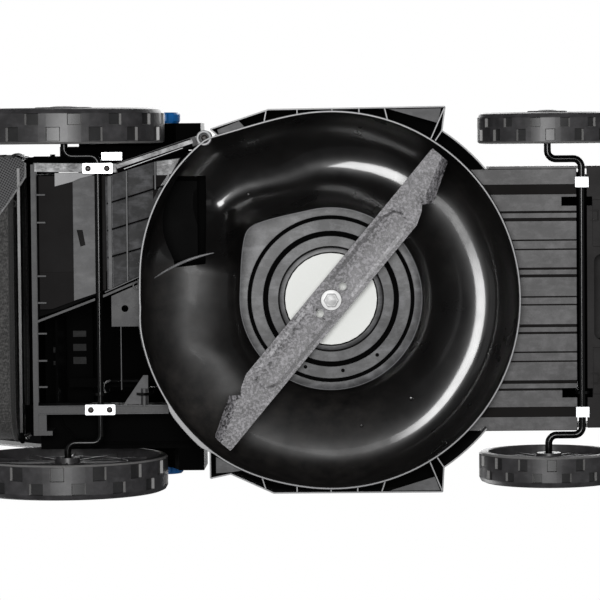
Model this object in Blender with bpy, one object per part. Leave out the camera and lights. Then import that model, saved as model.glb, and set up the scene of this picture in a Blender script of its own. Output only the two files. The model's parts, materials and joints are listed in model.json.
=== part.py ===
"""A cordless rotary lawn mower with a 40 cm cut, modelled as an assembly of its pieces.

Metres, +Z up, +X is the front of the mower and +Y its left side. The ground is z = 0.
Places are written from the blade's axis and are moved to the middle of the mower at the end.
"""
import math

import bmesh
import bpy
from mathutils import Vector

# Place of the blade's axis in front of the middle of the whole mower
BLADE_X = 0.2839

# Deck: bearings are degrees from the front towards the right side, so they follow the blade
DECK_STEPS = 48
RIM_RADIUS = 0.2068
RIM_Z = 0.045
RIM_BULGE = 0.0165
RIM_HEEL = 0.0047
WALL = 0.003
WALL_FOOT_Z = 0.075
ISLAND_RADIUS = 0.102
ISLAND_CORNER = 139.5
PLATE_Z = 0.085
PLATE_TOP_Z = 0.090
CEILING_LOW_Z = 0.112
CEILING_RISE = 0.050
MOTOR_HOLE = 0.0516
FIT = 0.0003

# Side trays of the deck, the front panel and the nose
TRAY_FLOOR_Z = 0.050
TRAY_TOP_Z = 0.098
RIB = 0.0022
PANEL_HALF = 0.1455
PANEL_Z = 0.074
PANEL_TOP_Z = 0.128
NOSE_X = 0.334
NOSE_SEAM_X = 0.289

# Blade: measured in steps of 1.1 mm
BLADE_HEADING = math.radians(-50.0)
BLADE_Z = 0.0600
BLADE_THICK = 0.0028
BLADE_STEP = 0.0011

# Wheels and axles
FRONT_RADIUS = 0.0775
REAR_RADIUS = 0.1125
FRONT_ROD = (0.2785, 0.0, 0.0775)
REAR_ROD = (-0.2595, 0.0, 0.1125)
CRANK = 0.0375
ROD_RADIUS = 0.004
FRONT_WHEEL_Y = (0.170, 0.205)
REAR_WHEEL_Y = (0.174, 0.214)
TREAD_SECTORS = 30
FRONT_CAP = 0.023
REAR_CAP = 0.033

# Height linkage
LINK_ARM = 0.064
LINK_Y = 0.106
LEVER_X = -0.210
LEVER_LEAN = 8.0

# Rear chassis
RAIL_Z = 0.107
RAIL_TOP_Z = 0.143
FLOOR_Z = 0.119
FLAP_PIN = (-0.322, 0.0, 0.271)

# Hood and battery housing
HOOD_HALF = 0.166
HOOD_WALL = 0.0025
HOOD_TAIL_X = -0.312
HOOD_NOSE_X = 0.338
BATTERY_X = -0.062
LID_AXIS = (0.0500, 0.0, 0.2535)

# Handle
PIVOT = (-0.193, 0.0, 0.252)
HANDLE_LEAN = math.radians(46.3)
LOWER_LENGTH = 0.430
HANDLE_LENGTH = 1.010
TUBE_RADIUS = 0.011
LOWER_Y = 0.1865
UPPER_Y = 0.1625
BAIL_AT = 0.900

# Grass bag
MOUTH_X = -0.348
BAG_HALF = 0.162
BAG_TAIL_X = -0.800
BAG_GRIP_Z = 0.4380

# Finishes: colour, roughness, metallic
BLACK = ((0.030, 0.030, 0.031), 0.42, 0.0)
SATIN = ((0.075, 0.074, 0.075), 0.55, 0.0)
GREY = ((0.16, 0.16, 0.165), 0.5, 0.0)
BLUE = ((0.010, 0.115, 0.52), 0.4, 0.0)
STEEL = ((0.30, 0.29, 0.29), 0.5, 1.0)
ZINC = ((0.72, 0.73, 0.74), 0.32, 1.0)
FLANGE = ((0.74, 0.75, 0.71), 0.5, 0.0)
PAINTED = ((0.022, 0.022, 0.023), 0.35, 0.0)
TYRE = ((0.050, 0.048, 0.047), 0.75, 0.0)
CLOTH = ((0.020, 0.020, 0.021), 0.9, 0.0)
FOAM = ((0.018, 0.018, 0.018), 0.85, 0.0)


# General forms

def clamp(value, low, high):
    return max(low, min(high, value))


def ease(value):
    value = clamp(value, 0.0, 1.0)
    return value * value * (3.0 - 2.0 * value)


def blend(a, b, share):
    return a + (b - a) * share


def through(stations, x):
    """The value at x on straight lines through (x, value) stations in rising x."""
    if x <= stations[0][0]:
        return stations[0][1]
    for (x0, v0), (x1, v1) in zip(stations, stations[1:]):
        if x <= x1:
            return blend(v0, v1, (x - x0) / (x1 - x0))
    return stations[-1][1]


def loft(rings, closed=False):
    """Join rings of equal count with quads, and close the two ends, or the last to the first."""
    count = len(rings[0])
    points = [point for ring in rings for point in ring]
    faces = []
    spans = len(rings) if closed else len(rings) - 1
    for i in range(spans):
        here = i * count
        there = ((i + 1) % len(rings)) * count
        for j in range(count):
            k = (j + 1) % count
            faces.append((here + j, here + k, there + k, there + j))
    if not closed:
        faces.append(tuple(range(count)))
        faces.append(tuple(range(len(points) - count, len(points))))
    return points, faces


def prism(outline, low, high):
    """An upright solid over a plan outline."""
    return loft([[(x, y, low) for x, y in outline], [(x, y, high) for x, y in outline]])


def side_prism(outline, low, high):
    """A solid across the mower over an outline of (x, z)."""
    return loft([[(x, low, z) for x, z in outline], [(x, high, z) for x, z in outline]])


def box(x0, x1, y0, y1, z0, z1):
    return prism([(x0, y0), (x1, y0), (x1, y1), (x0, y1)], z0, z1)


def turned(profile, at, axis, steps):
    """Turn a profile of (radius, along) round an axis, 'y' or 'z'."""
    rings = []
    for i in range(steps):
        angle = 2.0 * math.pi * i / steps
        ring = []
        for radius, along in profile:
            u = radius * math.cos(angle)
            v = radius * math.sin(angle)
            if axis == "z":
                ring.append((at[0] + u, at[1] + v, at[2] + along))
            else:
                ring.append((at[0] + u, at[1] + along, at[2] + v))
        rings.append(ring)
    return loft(rings, closed=True)


def stack(sections, at, axis, steps=16):
    """Round solid from (radius, along) sections with flat ends."""
    rings = []
    for radius, along in sections:
        ring = []
        for i in range(steps):
            angle = 2.0 * math.pi * i / steps
            u = radius * math.cos(angle)
            v = radius * math.sin(angle)
            if axis == "z":
                ring.append((at[0] + u, at[1] + v, along))
            else:
                ring.append((at[0] + u, along, at[2] + v))
        rings.append(ring)
    return loft(rings)


def disc(radius, low, high, at, axis, steps=16):
    """A plain round solid from low to high along an axis."""
    return stack([(radius, low), (radius, high)], at, axis, steps)


def fillet(corners, radius, steps=3):
    """A path through corners, each inner corner rounded to the radius."""
    corners = [Vector(c) for c in corners]
    path = [corners[0]]
    for before, here, after in zip(corners, corners[1:], corners[2:]):
        into = (before - here).normalized()
        out = (after - here).normalized()
        half = into.angle(out) / 2.0
        reach = radius / math.tan(half)
        centre = here + (into + out).normalized() * (radius / math.sin(half))
        start = here + into * reach
        stop = here + out * reach
        a = (start - centre).normalized()
        b = (stop - centre).normalized()
        turn = a.angle(b)
        for i in range(steps + 1):
            share = i / steps
            point = a * math.sin(turn * (1.0 - share)) + b * math.sin(turn * share)
            path.append(centre + point * (radius / math.sin(turn)))
    path.append(corners[-1])
    return path


def sweep(path, radius, sides=8, flat=1.0, up=(0.0, 0.0, 1.0)):
    """A round or oval bar along a path."""
    path = [Vector(p) for p in path]
    rings = []
    normal = None
    for i, point in enumerate(path):
        before = path[max(i - 1, 0)]
        after = path[min(i + 1, len(path) - 1)]
        into = (point - before).normalized() if i else (after - point).normalized()
        out = (after - point).normalized() if i < len(path) - 1 else into
        tangent = (into + out).normalized()
        if normal is None:
            normal = Vector(up) - tangent * tangent.dot(Vector(up))
            if normal.length < 0.05:
                normal = Vector((1.0, 0.0, 0.0)) - tangent * tangent.x
            normal.normalize()
        normal = (normal - tangent * tangent.dot(normal)).normalized()
        across = tangent.cross(normal)
        stretch = 1.0 / max(0.5, tangent.dot(into))
        ring = []
        for j in range(sides):
            angle = 2.0 * math.pi * (j + 0.5) / sides
            offset = normal * (flat * math.cos(angle)) + across * math.sin(angle)
            bend = (out - into)
            if bend.length > 1e-6:
                bend.normalize()
                offset += bend * (offset.dot(bend) * (stretch - 1.0))
            ring.append(tuple(point + offset * radius))
        rings.append(ring)
    return loft(rings)


def rounded(half_x, half_y, corner, centre=(0.0, 0.0), steps=4):
    """A plan outline of a rounded rectangle, anticlockwise from the front right corner."""
    outline = []
    for cx, cy, start in ((1, 1, 0), (-1, 1, 90), (-1, -1, 180), (1, -1, 270)):
        for i in range(steps + 1):
            angle = math.radians(start + 90.0 * i / steps)
            x = centre[0] + cx * (half_x - corner) + corner * math.cos(angle)
            y = centre[1] + cy * (half_y - corner) + corner * math.sin(angle)
            outline.append((x, y))
    return outline


def wall_run(points, thickness):
    """The plan outline of a wall of even thickness along a line of points."""
    line = [Vector((p[0], p[1])) for p in points]
    left = []
    right = []
    for i, point in enumerate(line):
        into = (point - line[i - 1]).normalized() if i else (line[1] - point).normalized()
        out = (line[i + 1] - point).normalized() if i < len(line) - 1 else into
        along = (into + out).normalized()
        across = Vector((-along.y, along.x))
        reach = thickness / 2.0 / max(0.3, along.dot(into))
        left.append(tuple(point + across * reach))
        right.append(tuple(point - across * reach))
    return left + right[::-1]


def link_height(x):
    """Height of the linkage rod between the tips of the two axles' arms."""
    share = (x - REAR_ROD[0]) / (FRONT_ROD[0] - REAR_ROD[0])
    return blend(REAR_ROD[2], FRONT_ROD[2], share) + LINK_ARM


# Objects

ANCHORS = {}


def clear_scene():
    for item in list(bpy.data.objects):
        bpy.data.objects.remove(item, do_unlink=True)


def anchor(name, at, parent=None):
    """An empty on a moving body's axis, at a place measured from the blade's axis."""
    empty = bpy.data.objects.new(name + "_axis", None)
    empty.empty_display_size = 0.03
    bpy.context.scene.collection.objects.link(empty)
    if parent is None:
        empty.location = Vector(at) + Vector((BLADE_X, 0.0, 0.0))
    else:
        empty.parent = ANCHORS[parent][0]
        empty.location = Vector(at) - Vector(ANCHORS[parent][1])
    ANCHORS[name] = (empty, Vector(at))


def paint(name, finish):
    colour, roughness, metallic = finish
    material = bpy.data.materials.new(name)
    material.use_nodes = True
    shader = material.node_tree.nodes["Principled BSDF"]
    shader.inputs["Base Color"].default_value = (*colour, 1.0)
    shader.inputs["Roughness"].default_value = roughness
    shader.inputs["Metallic"].default_value = metallic
    return material


def solid(name, form, body, finish=None, crease=35.0):
    """One closed solid on a body. Without a finish it is a hidden tool for a Boolean."""
    points, faces = form
    empty, origin = ANCHORS[body]
    shape = bmesh.new()
    corners = [shape.verts.new(Vector(p) - origin) for p in points]
    for face in faces:
        shape.faces.new([corners[i] for i in face])
    bmesh.ops.recalc_face_normals(shape, faces=shape.faces)
    bmesh.ops.connect_verts_nonplanar(shape, angle_limit=math.radians(0.05), faces=shape.faces)
    mesh = bpy.data.meshes.new(name)
    shape.to_mesh(mesh)
    shape.free()
    mesh.shade_smooth()
    mesh.set_sharp_from_angle(angle=math.radians(crease))
    item = bpy.data.objects.new(name, mesh)
    item.parent = empty
    bpy.context.scene.collection.objects.link(item)
    if finish is None:
        item.hide_render = True
        item.display_type = "WIRE"
    else:
        mesh.materials.append(paint(name, finish))
    return item


def combine(item, tool, operation, solver="EXACT"):
    change = item.modifiers.new(operation.lower() + "_" + tool.name, "BOOLEAN")
    change.operation = operation
    change.object = tool
    change.solver = solver
    return item


def fuse(item, body, *forms):
    for form in forms:
        combine(item, solid(item.name + "_add" + str(len(item.modifiers)), form, body), "UNION")
    return item


def cut(item, body, *forms):
    for form in forms:
        combine(item, solid(item.name + "_cut" + str(len(item.modifiers)), form, body), "DIFFERENCE")
    return item


def group(*forms):
    """Several separate solids as one tool."""
    points = []
    faces = []
    for more_points, more_faces in forms:
        start = len(points)
        points.extend(more_points)
        faces.extend(tuple(start + i for i in face) for face in more_faces)
    return points, faces


# Deck

def rim_radius(bearing):
    """The deck's wall opens out ahead of the chute and is a little wider behind it."""
    bearing %= 360.0
    bulge = 0.0
    if 95.0 <= bearing < 127.0:
        bulge = ((bearing - 95.0) / 32.0) ** 3
    elif 127.0 <= bearing < 182.0:
        bulge = math.cos(math.radians((bearing - 127.0) / 55.0 * 90.0))
    heel = ease((bearing - 172.0) / 18.0) * (1.0 - ease((bearing - 230.0) / 32.0))
    return RIM_RADIUS + RIM_BULGE * bulge + RIM_HEEL * heel


def island_radius(bearing):
    """The raised middle is round, with one rounded corner towards the chute."""
    away = abs((bearing - ISLAND_CORNER + 180.0) % 360.0 - 180.0)
    if away > 38.0:
        return ISLAND_RADIUS
    away = math.hypot(away, 4.0) / 38.0
    return ISLAND_RADIUS * (1.0 + 0.23 * max(0.0, 1.0 - away) ** 2)


def ceiling(bearing):
    """The channel's roof climbs once round to the chute and drops behind it."""
    turn = (bearing - 185.0) % 360.0
    if turn <= 315.0:
        share = turn / 315.0
    else:
        share = 1.0 - ease((turn - 315.0) / 45.0)
    return CEILING_LOW_Z + CEILING_RISE * share


def arch(bearing, skin, samples):
    """(radius, z) over the channel from the wall to the island, skin above its underside."""
    inner = island_radius(bearing)
    outer = rim_radius(bearing)
    middle = (inner + outer) / 2.0
    half = (outer - inner) / 2.0 + skin
    foot_in = PLATE_Z if skin == 0.0 else PLATE_TOP_Z
    rise = ceiling(bearing) + skin - (WALL_FOOT_Z + foot_in) / 2.0
    line = []
    for i in range(samples):
        turn = math.pi * i / (samples - 1)
        side = math.cos(turn)
        radius = middle + half * math.copysign(abs(side) ** 0.75, side)
        foot = blend(WALL_FOOT_Z, foot_in, i / (samples - 1))
        line.append((radius, foot + rise * max(0.0, math.sin(turn)) ** 0.85))
    return line


def polar(bearing, radius, z):
    angle = math.radians(bearing)
    return (radius * math.cos(angle), -radius * math.sin(angle), z)


def plan(bearing, radius):
    return polar(bearing, radius, 0.0)[:2]


def rim_lip(bearing):
    """The rim is 2 mm thick, and broad for a short way at the left rear."""
    bearing %= 360.0
    return 0.002 + 0.0035 * ease((bearing - 211.0) / 4.0) * (1.0 - ease((bearing - 228.0) / 4.0))


def deck_section(bearing):
    section = [(rim_radius(bearing), RIM_Z)]
    section += arch(bearing, 0.0, 8)
    section += [(0.0929, PLATE_Z), (0.0929, PLATE_Z + 0.003)]
    section += [(0.0887, PLATE_Z + 0.003), (0.0887, PLATE_Z)]
    section += [(0.058, PLATE_Z), (0.058, PLATE_Z - 0.002), (MOTOR_HOLE, PLATE_Z - 0.002)]
    section += [(MOTOR_HOLE, PLATE_TOP_Z)]
    section += arch(bearing, WALL, 7)[::-1]
    section += [(rim_radius(bearing) + rim_lip(bearing), RIM_Z)]
    return section


def deck_envelope(gap):
    """The deck's outer form grown by a gap, for cutting what sits against it."""
    bearings = [360.0 * i / DECK_STEPS for i in range(DECK_STEPS)]
    rings = []
    for bearing in bearings:
        line = [(rim_radius(bearing) + WALL + gap, RIM_Z - 0.02)]
        line += arch(bearing, WALL + gap, 7)[:-1]
        rings.append([polar(bearing, r, z) for r, z in line])
    count = len(rings[0])
    points = [p for ring in rings for p in ring]
    faces = []
    for i in range(DECK_STEPS):
        here = i * count
        there = ((i + 1) % DECK_STEPS) * count
        for j in range(count - 1):
            faces.append((here + j, here + j + 1, there + j + 1, there + j))
    faces.append(tuple(i * count for i in range(DECK_STEPS)))
    faces.append(tuple(i * count + count - 1 for i in range(DECK_STEPS)))
    return points, faces


def ring_run(start, stop, offset, step=5.0):
    """Plan points along the deck's wall, offset outwards from its inner face."""
    count = max(2, int(abs(stop - start) / step) + 1)
    run = []
    for i in range(count):
        bearing = blend(start, stop, i / (count - 1))
        run.append(plan(bearing, rim_radius(bearing) + offset))
    return run


def arc_run(start, stop, radius, step=5.0):
    count = max(2, int(abs(stop - start) / step) + 1)
    return [plan(blend(start, stop, i / (count - 1)), radius) for i in range(count)]


def skirt_edge(outer, x):
    """The y of a skirt's outer line at x."""
    line = sorted(outer)
    return through(line, x)


def skirt_pockets(outer, ribs, side):
    """The open cells between a skirt's ribs, as plan outlines."""
    cells = []
    for x0, x1 in zip(ribs, ribs[1:]):
        x0 += RIB / 2.0
        x1 -= RIB / 2.0
        inner = []
        for i in range(4):
            x = blend(x0, x1, i / 3.0)
            bearing = math.degrees(math.atan2(-side * 0.21, x)) % 360.0
            radius = rim_radius(bearing) + 0.0015
            inner.append((x, side * math.sqrt(max(0.0, radius ** 2 - x ** 2))))
        edge = [(x, skirt_edge(outer, x) - side * 0.0016) for x in (x1, x0)]
        cells.append(inner + edge)
    return cells


def front_clearance():
    """Room over the front axle rod for its link arm, and slots for its two clips."""
    trench = box(0.2550, 0.3000, -PANEL_HALF + 0.003, PANEL_HALF - 0.003, 0.0985, 0.2)
    slots = group(box(0.256, 0.300, 0.1015, 0.1115, 0.05, 0.2),
                  box(0.256, 0.300, -0.1115, -0.1015, 0.05, 0.2))
    return trench, slots


def build_front_panel():
    """The ribbed panel between the front wheels, with its axle groove."""
    outline = ring_run(39.5, -39.5, 0.0036, 5.0) + [
        (0.176, PANEL_HALF), (NOSE_SEAM_X, PANEL_HALF), (NOSE_SEAM_X, -PANEL_HALF),
        (0.176, -PANEL_HALF)]
    panel = solid("front_panel", prism(outline, PANEL_Z, PANEL_TOP_Z), "chassis", BLACK)
    back = ring_run(36.5, -36.5, 0.0070, 8.0)
    hollow = back + [(0.262, PANEL_HALF - 0.003), (0.262, -PANEL_HALF + 0.003)]
    cut(panel, "chassis", prism(hollow, PANEL_Z + 0.004, 0.2))
    trench, slots = front_clearance()
    groove = box(0.2728, 0.2842, -0.2, 0.2, 0.05, 0.0865)
    lines = []
    for y in (-0.1225, 0.1225):
        lines.append(box(0.15, 0.262, y - 0.0055, y + 0.0055, 0.05, PANEL_Z + 0.0015))
    for y in (-0.093, -0.031, 0.031, 0.093):
        for offset in (-0.0050, 0.0050):
            lines.append(box(0.21, 0.262, y + offset - 0.0018, y + offset + 0.0018, 0.05,
                             PANEL_Z + 0.0015))
    for y in (-0.062, 0.0, 0.062):
        for offset in (-0.0050, 0.0050):
            lines.append(box(0.21, 0.262, y + offset - 0.0008, y + offset + 0.0008, 0.05,
                             PANEL_Z + 0.0015))
    cut(panel, "chassis", trench, groove, slots, group(*lines))


def build_front_nose():
    """The hollow nose ahead of the axle, with the recess for lifting hands."""
    seam = NOSE_SEAM_X + FIT
    outline = [(seam, PANEL_HALF), (NOSE_X - 0.02, PANEL_HALF), (NOSE_X, PANEL_HALF - 0.03),
               (NOSE_X, -PANEL_HALF + 0.03), (NOSE_X - 0.02, -PANEL_HALF), (seam, -PANEL_HALF)]
    nose = solid("front_nose", prism(outline, PANEL_Z, PANEL_TOP_Z), "chassis", BLACK)
    inner = NOSE_X - 0.003
    beside = [(0.294, PANEL_HALF - 0.003), (NOSE_X - 0.023, PANEL_HALF - 0.003),
              (inner, PANEL_HALF - 0.033), (inner, 0.052), (0.294, 0.052)]
    other = [(x, -y) for x, y in beside]
    over = [(0.294, 0.052), (inner, 0.052), (inner, -0.052), (0.294, -0.052)]
    cut(nose, "chassis", prism(beside, PANEL_Z + 0.004, 0.2), prism(other, PANEL_Z + 0.004, 0.2),
        prism(over, 0.108, 0.2))
    trench, slots = front_clearance()
    recess = prism(rounded(0.021, 0.0475, 0.008, (0.313, 0.0), 2), 0.05, 0.105)
    cut(nose, "chassis", trench, recess, slots)


def tunnel_y(x):
    """The chute's left side leans out towards the bag."""
    return through(((-0.335, 0.022), (-0.3135, 0.0165), (-0.2536, -0.0085), (-0.2115, -0.0285),
                    (-0.1, -0.040)), x)


def tunnel_floor(x):
    return through(((-0.250, 0.1215), (-0.130, 0.0985)), x)


def tunnel_roof(x):
    return through(((-0.335, 0.256), (-0.300, 0.246), (-0.240, 0.200), (-0.190, 0.160),
                    (-0.1, 0.158)), x)


def tunnel_section(x, skin):
    y0 = -0.1400 + skin
    y1 = tunnel_y(x) - 0.0005 - skin
    z0 = tunnel_floor(x) + skin
    z1 = tunnel_roof(x) - skin
    corner = 0.006
    return [(x, y0, z0), (x, y1, z0), (x, y1, z1 - corner), (x, y1 - corner, z1),
            (x, y0 + corner, z1), (x, y0, z1 - corner)]


def build_deck():
    rings = []
    for i in range(DECK_STEPS):
        bearing = 360.0 * i / DECK_STEPS
        rings.append([polar(bearing, r, z) for r, z in deck_section(bearing)])
    deck = solid("deck_housing", loft(rings, closed=True), "chassis", BLACK, 40.0)
    stations = [tunnel_section(x, 0.0025) for x in (-0.140, -0.190, -0.250)]
    mouth = solid("chute_mouth", loft(stations), "chassis")
    combine(deck, mouth, "DIFFERENCE", "MANIFOLD")

    right_line = [(0.1265, -0.2129), (-0.0675, -0.2112), (-0.1313, -0.1903)]
    right = arc_run(40.0, 56.5, 0.2235) + right_line + ring_run(124.0, 39.8, 0.0010)
    left_line = [(0.1212, 0.2136), (-0.0653, 0.2134), (-0.1126, 0.1918), (-0.1350, 0.1965)]
    left = arc_run(-40.0, -56.5, 0.2235) + left_line + ring_run(-129.5, -39.8, 0.0010)
    right_cells = skirt_pockets(right_line, (-0.106, -0.073, -0.0362, 0.0023, 0.032, 0.0634), -1)
    left_cells = skirt_pockets(left_line, (-0.106, -0.0785, -0.0395, -0.0019, 0.0275, 0.0584), 1)
    right_cells.append(arc_run(43.0, 54.0, 0.2213) + ring_run(54.0, 43.0, 0.0015))
    left_cells.append(arc_run(-43.0, -54.0, 0.2213) + ring_run(-54.0, -43.0, 0.0015))
    for name, outline, cells in (("skirt_right", right, right_cells), ("skirt_left", left, left_cells)):
        tray = solid(name, prism(outline, TRAY_FLOOR_Z, TRAY_TOP_Z), "chassis")
        pockets = [prism(cell, 0.03, TRAY_TOP_Z - 0.0025) for cell in cells]
        combine(tray, solid(name + "_pockets", group(*pockets), "chassis"), "DIFFERENCE")
        combine(deck, tray, "UNION")
    boss_at = (-0.1385, -0.1800, 0.0)
    fuse(deck, "chassis", disc(0.0085, 0.047, 0.0965, boss_at, "z", 12))
    cut(deck, "chassis", disc(0.0055, 0.03, 0.062, boss_at, "z", 10))


# Rear chassis and chute

def build_chassis():
    """The frame behind the deck: two rails, a cross member and posts for the flap."""
    right = wall_run([(-0.1480, -0.1775), (-0.2385, -0.1473), (-0.3315, -0.1488)], 0.0100)
    frame = solid("rear_chassis", prism(right, RAIL_Z, RAIL_TOP_Z), "chassis", SATIN)
    hug = ring_run(174.0, 232.0, 0.0036, 6.0) + ring_run(232.0, 174.0, 0.0066, 6.0)
    cross = [(-0.3345, -0.152), (-0.3290, -0.152), (-0.3290, 0.152), (-0.3345, 0.152)]
    slant = wall_run([(-0.2085, -0.0235), (-0.2536, -0.0045), (-0.3320, 0.0250)], 0.0025)
    plate = [(-0.2457, -0.0040), (-0.2457, 0.0301), (-0.2085, 0.0301), (-0.2085, -0.0200)]
    fuse(frame, "chassis",
         prism(hug, RAIL_Z, 0.1180),
         box(-0.3320, -0.1830, 0.1183, 0.1285, RAIL_Z, RAIL_TOP_Z),
         prism(cross, RAIL_Z, 0.1180),
         prism(slant, RAIL_Z, 0.1180),
         prism(plate, RAIL_Z, RAIL_Z + 0.003),
         box(-0.3330, -0.3135, 0.1470, 0.1520, RAIL_Z + 0.001, FLAP_PIN[2] + 0.008),
         box(-0.3330, -0.3135, -0.1520, -0.1470, RAIL_Z + 0.001, FLAP_PIN[2] + 0.008),
         box(-0.3300, -0.3200, 0.1270, 0.1480, RAIL_Z + 0.001, 0.1170),
         box(-0.2520, -0.2380, -0.1640, -0.1500, 0.1263, 0.1300),
         disc(0.004, 0.1000, 0.1200, (LEVER_X, 0.0, link_height(LEVER_X) - LINK_ARM), "y", 10))
    x = REAR_ROD[0]
    cut(frame, "chassis",
        box(x - 0.0046, x + 0.0046, -0.17, 0.17, 0.09, REAR_ROD[2] + 0.0046),
        disc(0.004, 0.10, 0.12, (-0.2306, 0.0100, 0.0), "z", 12),
        disc(0.0033, -0.17, 0.17, FLAP_PIN, "y", 12))


def floor_front(y):
    """Front edge of the chute's floor, along the deck's wall."""
    bearing = math.degrees(math.atan2(-y, -0.2)) % 360.0
    return -math.sqrt(max(0.0, (rim_radius(bearing) + 0.0075) ** 2 - y ** 2))


def floor_plate():
    """The chute's floor as a thin plate that climbs from the deck and levels off."""
    rings = []
    for y in (-0.1390, -0.1250, -0.1050, -0.0850, -0.0650, -0.0450, -0.0310):
        front = floor_front(y)
        top = [(front, y, tunnel_floor(front)), (-0.250, y, tunnel_floor(-0.250)),
               (-0.3270, y, tunnel_floor(-0.3270))]
        over = [(px, py, pz - 0.0006) for px, py, pz in top]
        under = [(px, py, pz - 0.0030) for px, py, pz in top]
        rings.append(over + under[::-1])
    return loft(rings)


def build_chute():
    floor = solid("chute_floor", floor_plate(), "chassis", SATIN)
    ribs = []
    for y in (-0.1300, -0.1000, -0.0700, -0.0420):
        front = floor_front(y) - 0.0005
        outline = [(front, tunnel_floor(front) - 0.002), (-0.2485, FLOOR_Z),
                   (-0.2485, FLOOR_Z - 0.0095), (front, tunnel_floor(front) - 0.0095)]
        ribs.append(side_prism(outline, y - 0.001, y + 0.001))
    fuse(floor, "chassis", group(*ribs))
    level = tunnel_floor(-0.250)
    beside = [(-0.2520, -0.0320), (-0.2520, -0.0150), (-0.3130, 0.0110), (-0.3262, 0.0110),
              (-0.3262, -0.0320)]
    fuse(floor, "chassis", prism(beside, level - 0.0029, level - 0.0007))
    across = []
    for x, y1 in ((-0.2460, -0.0320), (-0.2265, -0.0320)):
        low = tunnel_floor(x) - 0.0100
        across.append(box(x - 0.001, x + 0.001, -0.1387, y1, low, low + 0.0082))
    fuse(floor, "chassis", group(*across))

    stations = (-0.150, -0.190, -0.214, -0.250, -0.300, -0.335)
    outer = [tunnel_section(x, 0.0) for x in stations]
    inner = [tunnel_section(x, 0.0025) for x in stations]
    tunnel = solid("chute_tunnel", loft(outer + inner[::-1], closed=True), "chassis", BLACK)
    combine(tunnel, solid("tunnel_end", deck_envelope(0.0010), "chassis"), "DIFFERENCE")


# Hood and battery

def crown(x):
    """Height of the hood's top along the mower."""
    return through(((HOOD_TAIL_X, 0.262), (0.0, 0.226), (0.100, 0.2145), (0.200, 0.198),
                    (0.280, 0.176), (HOOD_NOSE_X, 0.158)), x)


def hood_half(x):
    return blend(HOOD_HALF, 0.139, ease((x - 0.060) / 0.130))


def hood_outline(inset):
    """The left half of the hood's plan from nose to tail, then the right half back again."""
    nose = HOOD_NOSE_X - inset
    tail = HOOD_TAIL_X + inset
    front_corner = max(0.012, 0.062 - inset)
    rear_corner = max(0.010, 0.045 - inset)
    half_nose = hood_half(0.3) - inset
    half_tail = HOOD_HALF - inset
    line = []
    for i in range(4):
        angle = math.radians(30.0 * i)
        line.append((nose - front_corner * (1.0 - math.cos(angle)),
                     half_nose - front_corner * (1.0 - math.sin(angle))))
    for x in (0.205, 0.176, 0.158, 0.130, 0.090, 0.020, -0.060, -0.116, -0.140, -0.190, -0.235):
        line.append((x, hood_half(x) - inset))
    for i in range(4):
        angle = math.radians(30.0 * i)
        line.append((tail + rear_corner * (1.0 - math.sin(angle)),
                     half_tail - rear_corner * (1.0 - math.cos(angle))))
    return line + [(x, -y) for x, y in line[::-1]]


def hood_edge(x):
    """The hood's lower edge steps over the front tray and over the axle's arms."""
    front = ease((x - 0.160) / 0.015)
    rear = ease((-0.118 - x) / 0.020)
    return 0.1010 + 0.0285 * front + 0.0440 * rear


def hood_ring(inset, share, drop=0.0):
    ring = []
    for x, y in hood_outline(inset):
        low = hood_edge(x)
        ring.append((x, y, low + share * (crown(x) - low) - drop))
    return ring


def capped_shell(outer, inner):
    """A shell from outer rings, edge first, and inner rings, edge first, roofed side to side."""
    count = len(outer[0])
    rings = outer[::-1] + inner
    points = [p for ring in rings for p in ring]
    faces = []
    for i in range(len(rings) - 1):
        here = i * count
        there = here + count
        for j in range(count):
            k = (j + 1) % count
            faces.append((here + j, here + k, there + k, there + j))
    for base in (0, len(points) - count):
        for j in range(count // 2 - 1):
            faces.append((base + j, base + j + 1, base + count - 2 - j, base + count - 1 - j))
    return points, faces


def build_hood():
    outer = [hood_ring(inset, share) for inset, share in
             ((0.0, 0.0), (0.001, 0.62), (0.005, 0.80), (0.016, 0.93), (0.030, 0.985), (0.046, 1.0))]
    inner = [hood_ring(inset + HOOD_WALL, share, HOOD_WALL * min(1.0, share * 1.2)) for inset, share in
             ((0.0, 0.0), (0.005, 0.80), (0.030, 0.985), (0.046, 1.0))]
    hood = solid("hood", capped_shell(outer, inner), "chassis", BLACK)
    combine(hood, solid("hood_seat", deck_envelope(0.0010), "chassis"), "DIFFERENCE")
    cut(hood, "chassis",
        box(0.1500, 0.345, -PANEL_HALF - 0.0006, PANEL_HALF + 0.0006, 0.06, PANEL_TOP_Z + 0.0006),
        prism(rounded(0.099, 0.067, 0.02, (BATTERY_X, 0.0), 2), 0.18, 0.3),
        box(-0.335, -0.290, -0.1440, 0.0240, 0.10, 0.2585),
        box(-0.292, -0.070, LINK_Y - 0.0050, LINK_Y + 0.0050, 0.20, 0.3))


def battery_top(x):
    return 0.262 - 0.1154 * (x - BATTERY_X)


def battery_ring(half_x, half_y, corner, height):
    """A rounded ring whose height is a number or a function of x."""
    ring = []
    for x, y in rounded(half_x, half_y, corner, (BATTERY_X, 0.0), 3):
        ring.append((x, y, height if isinstance(height, float) else height(x)))
    return ring


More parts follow.
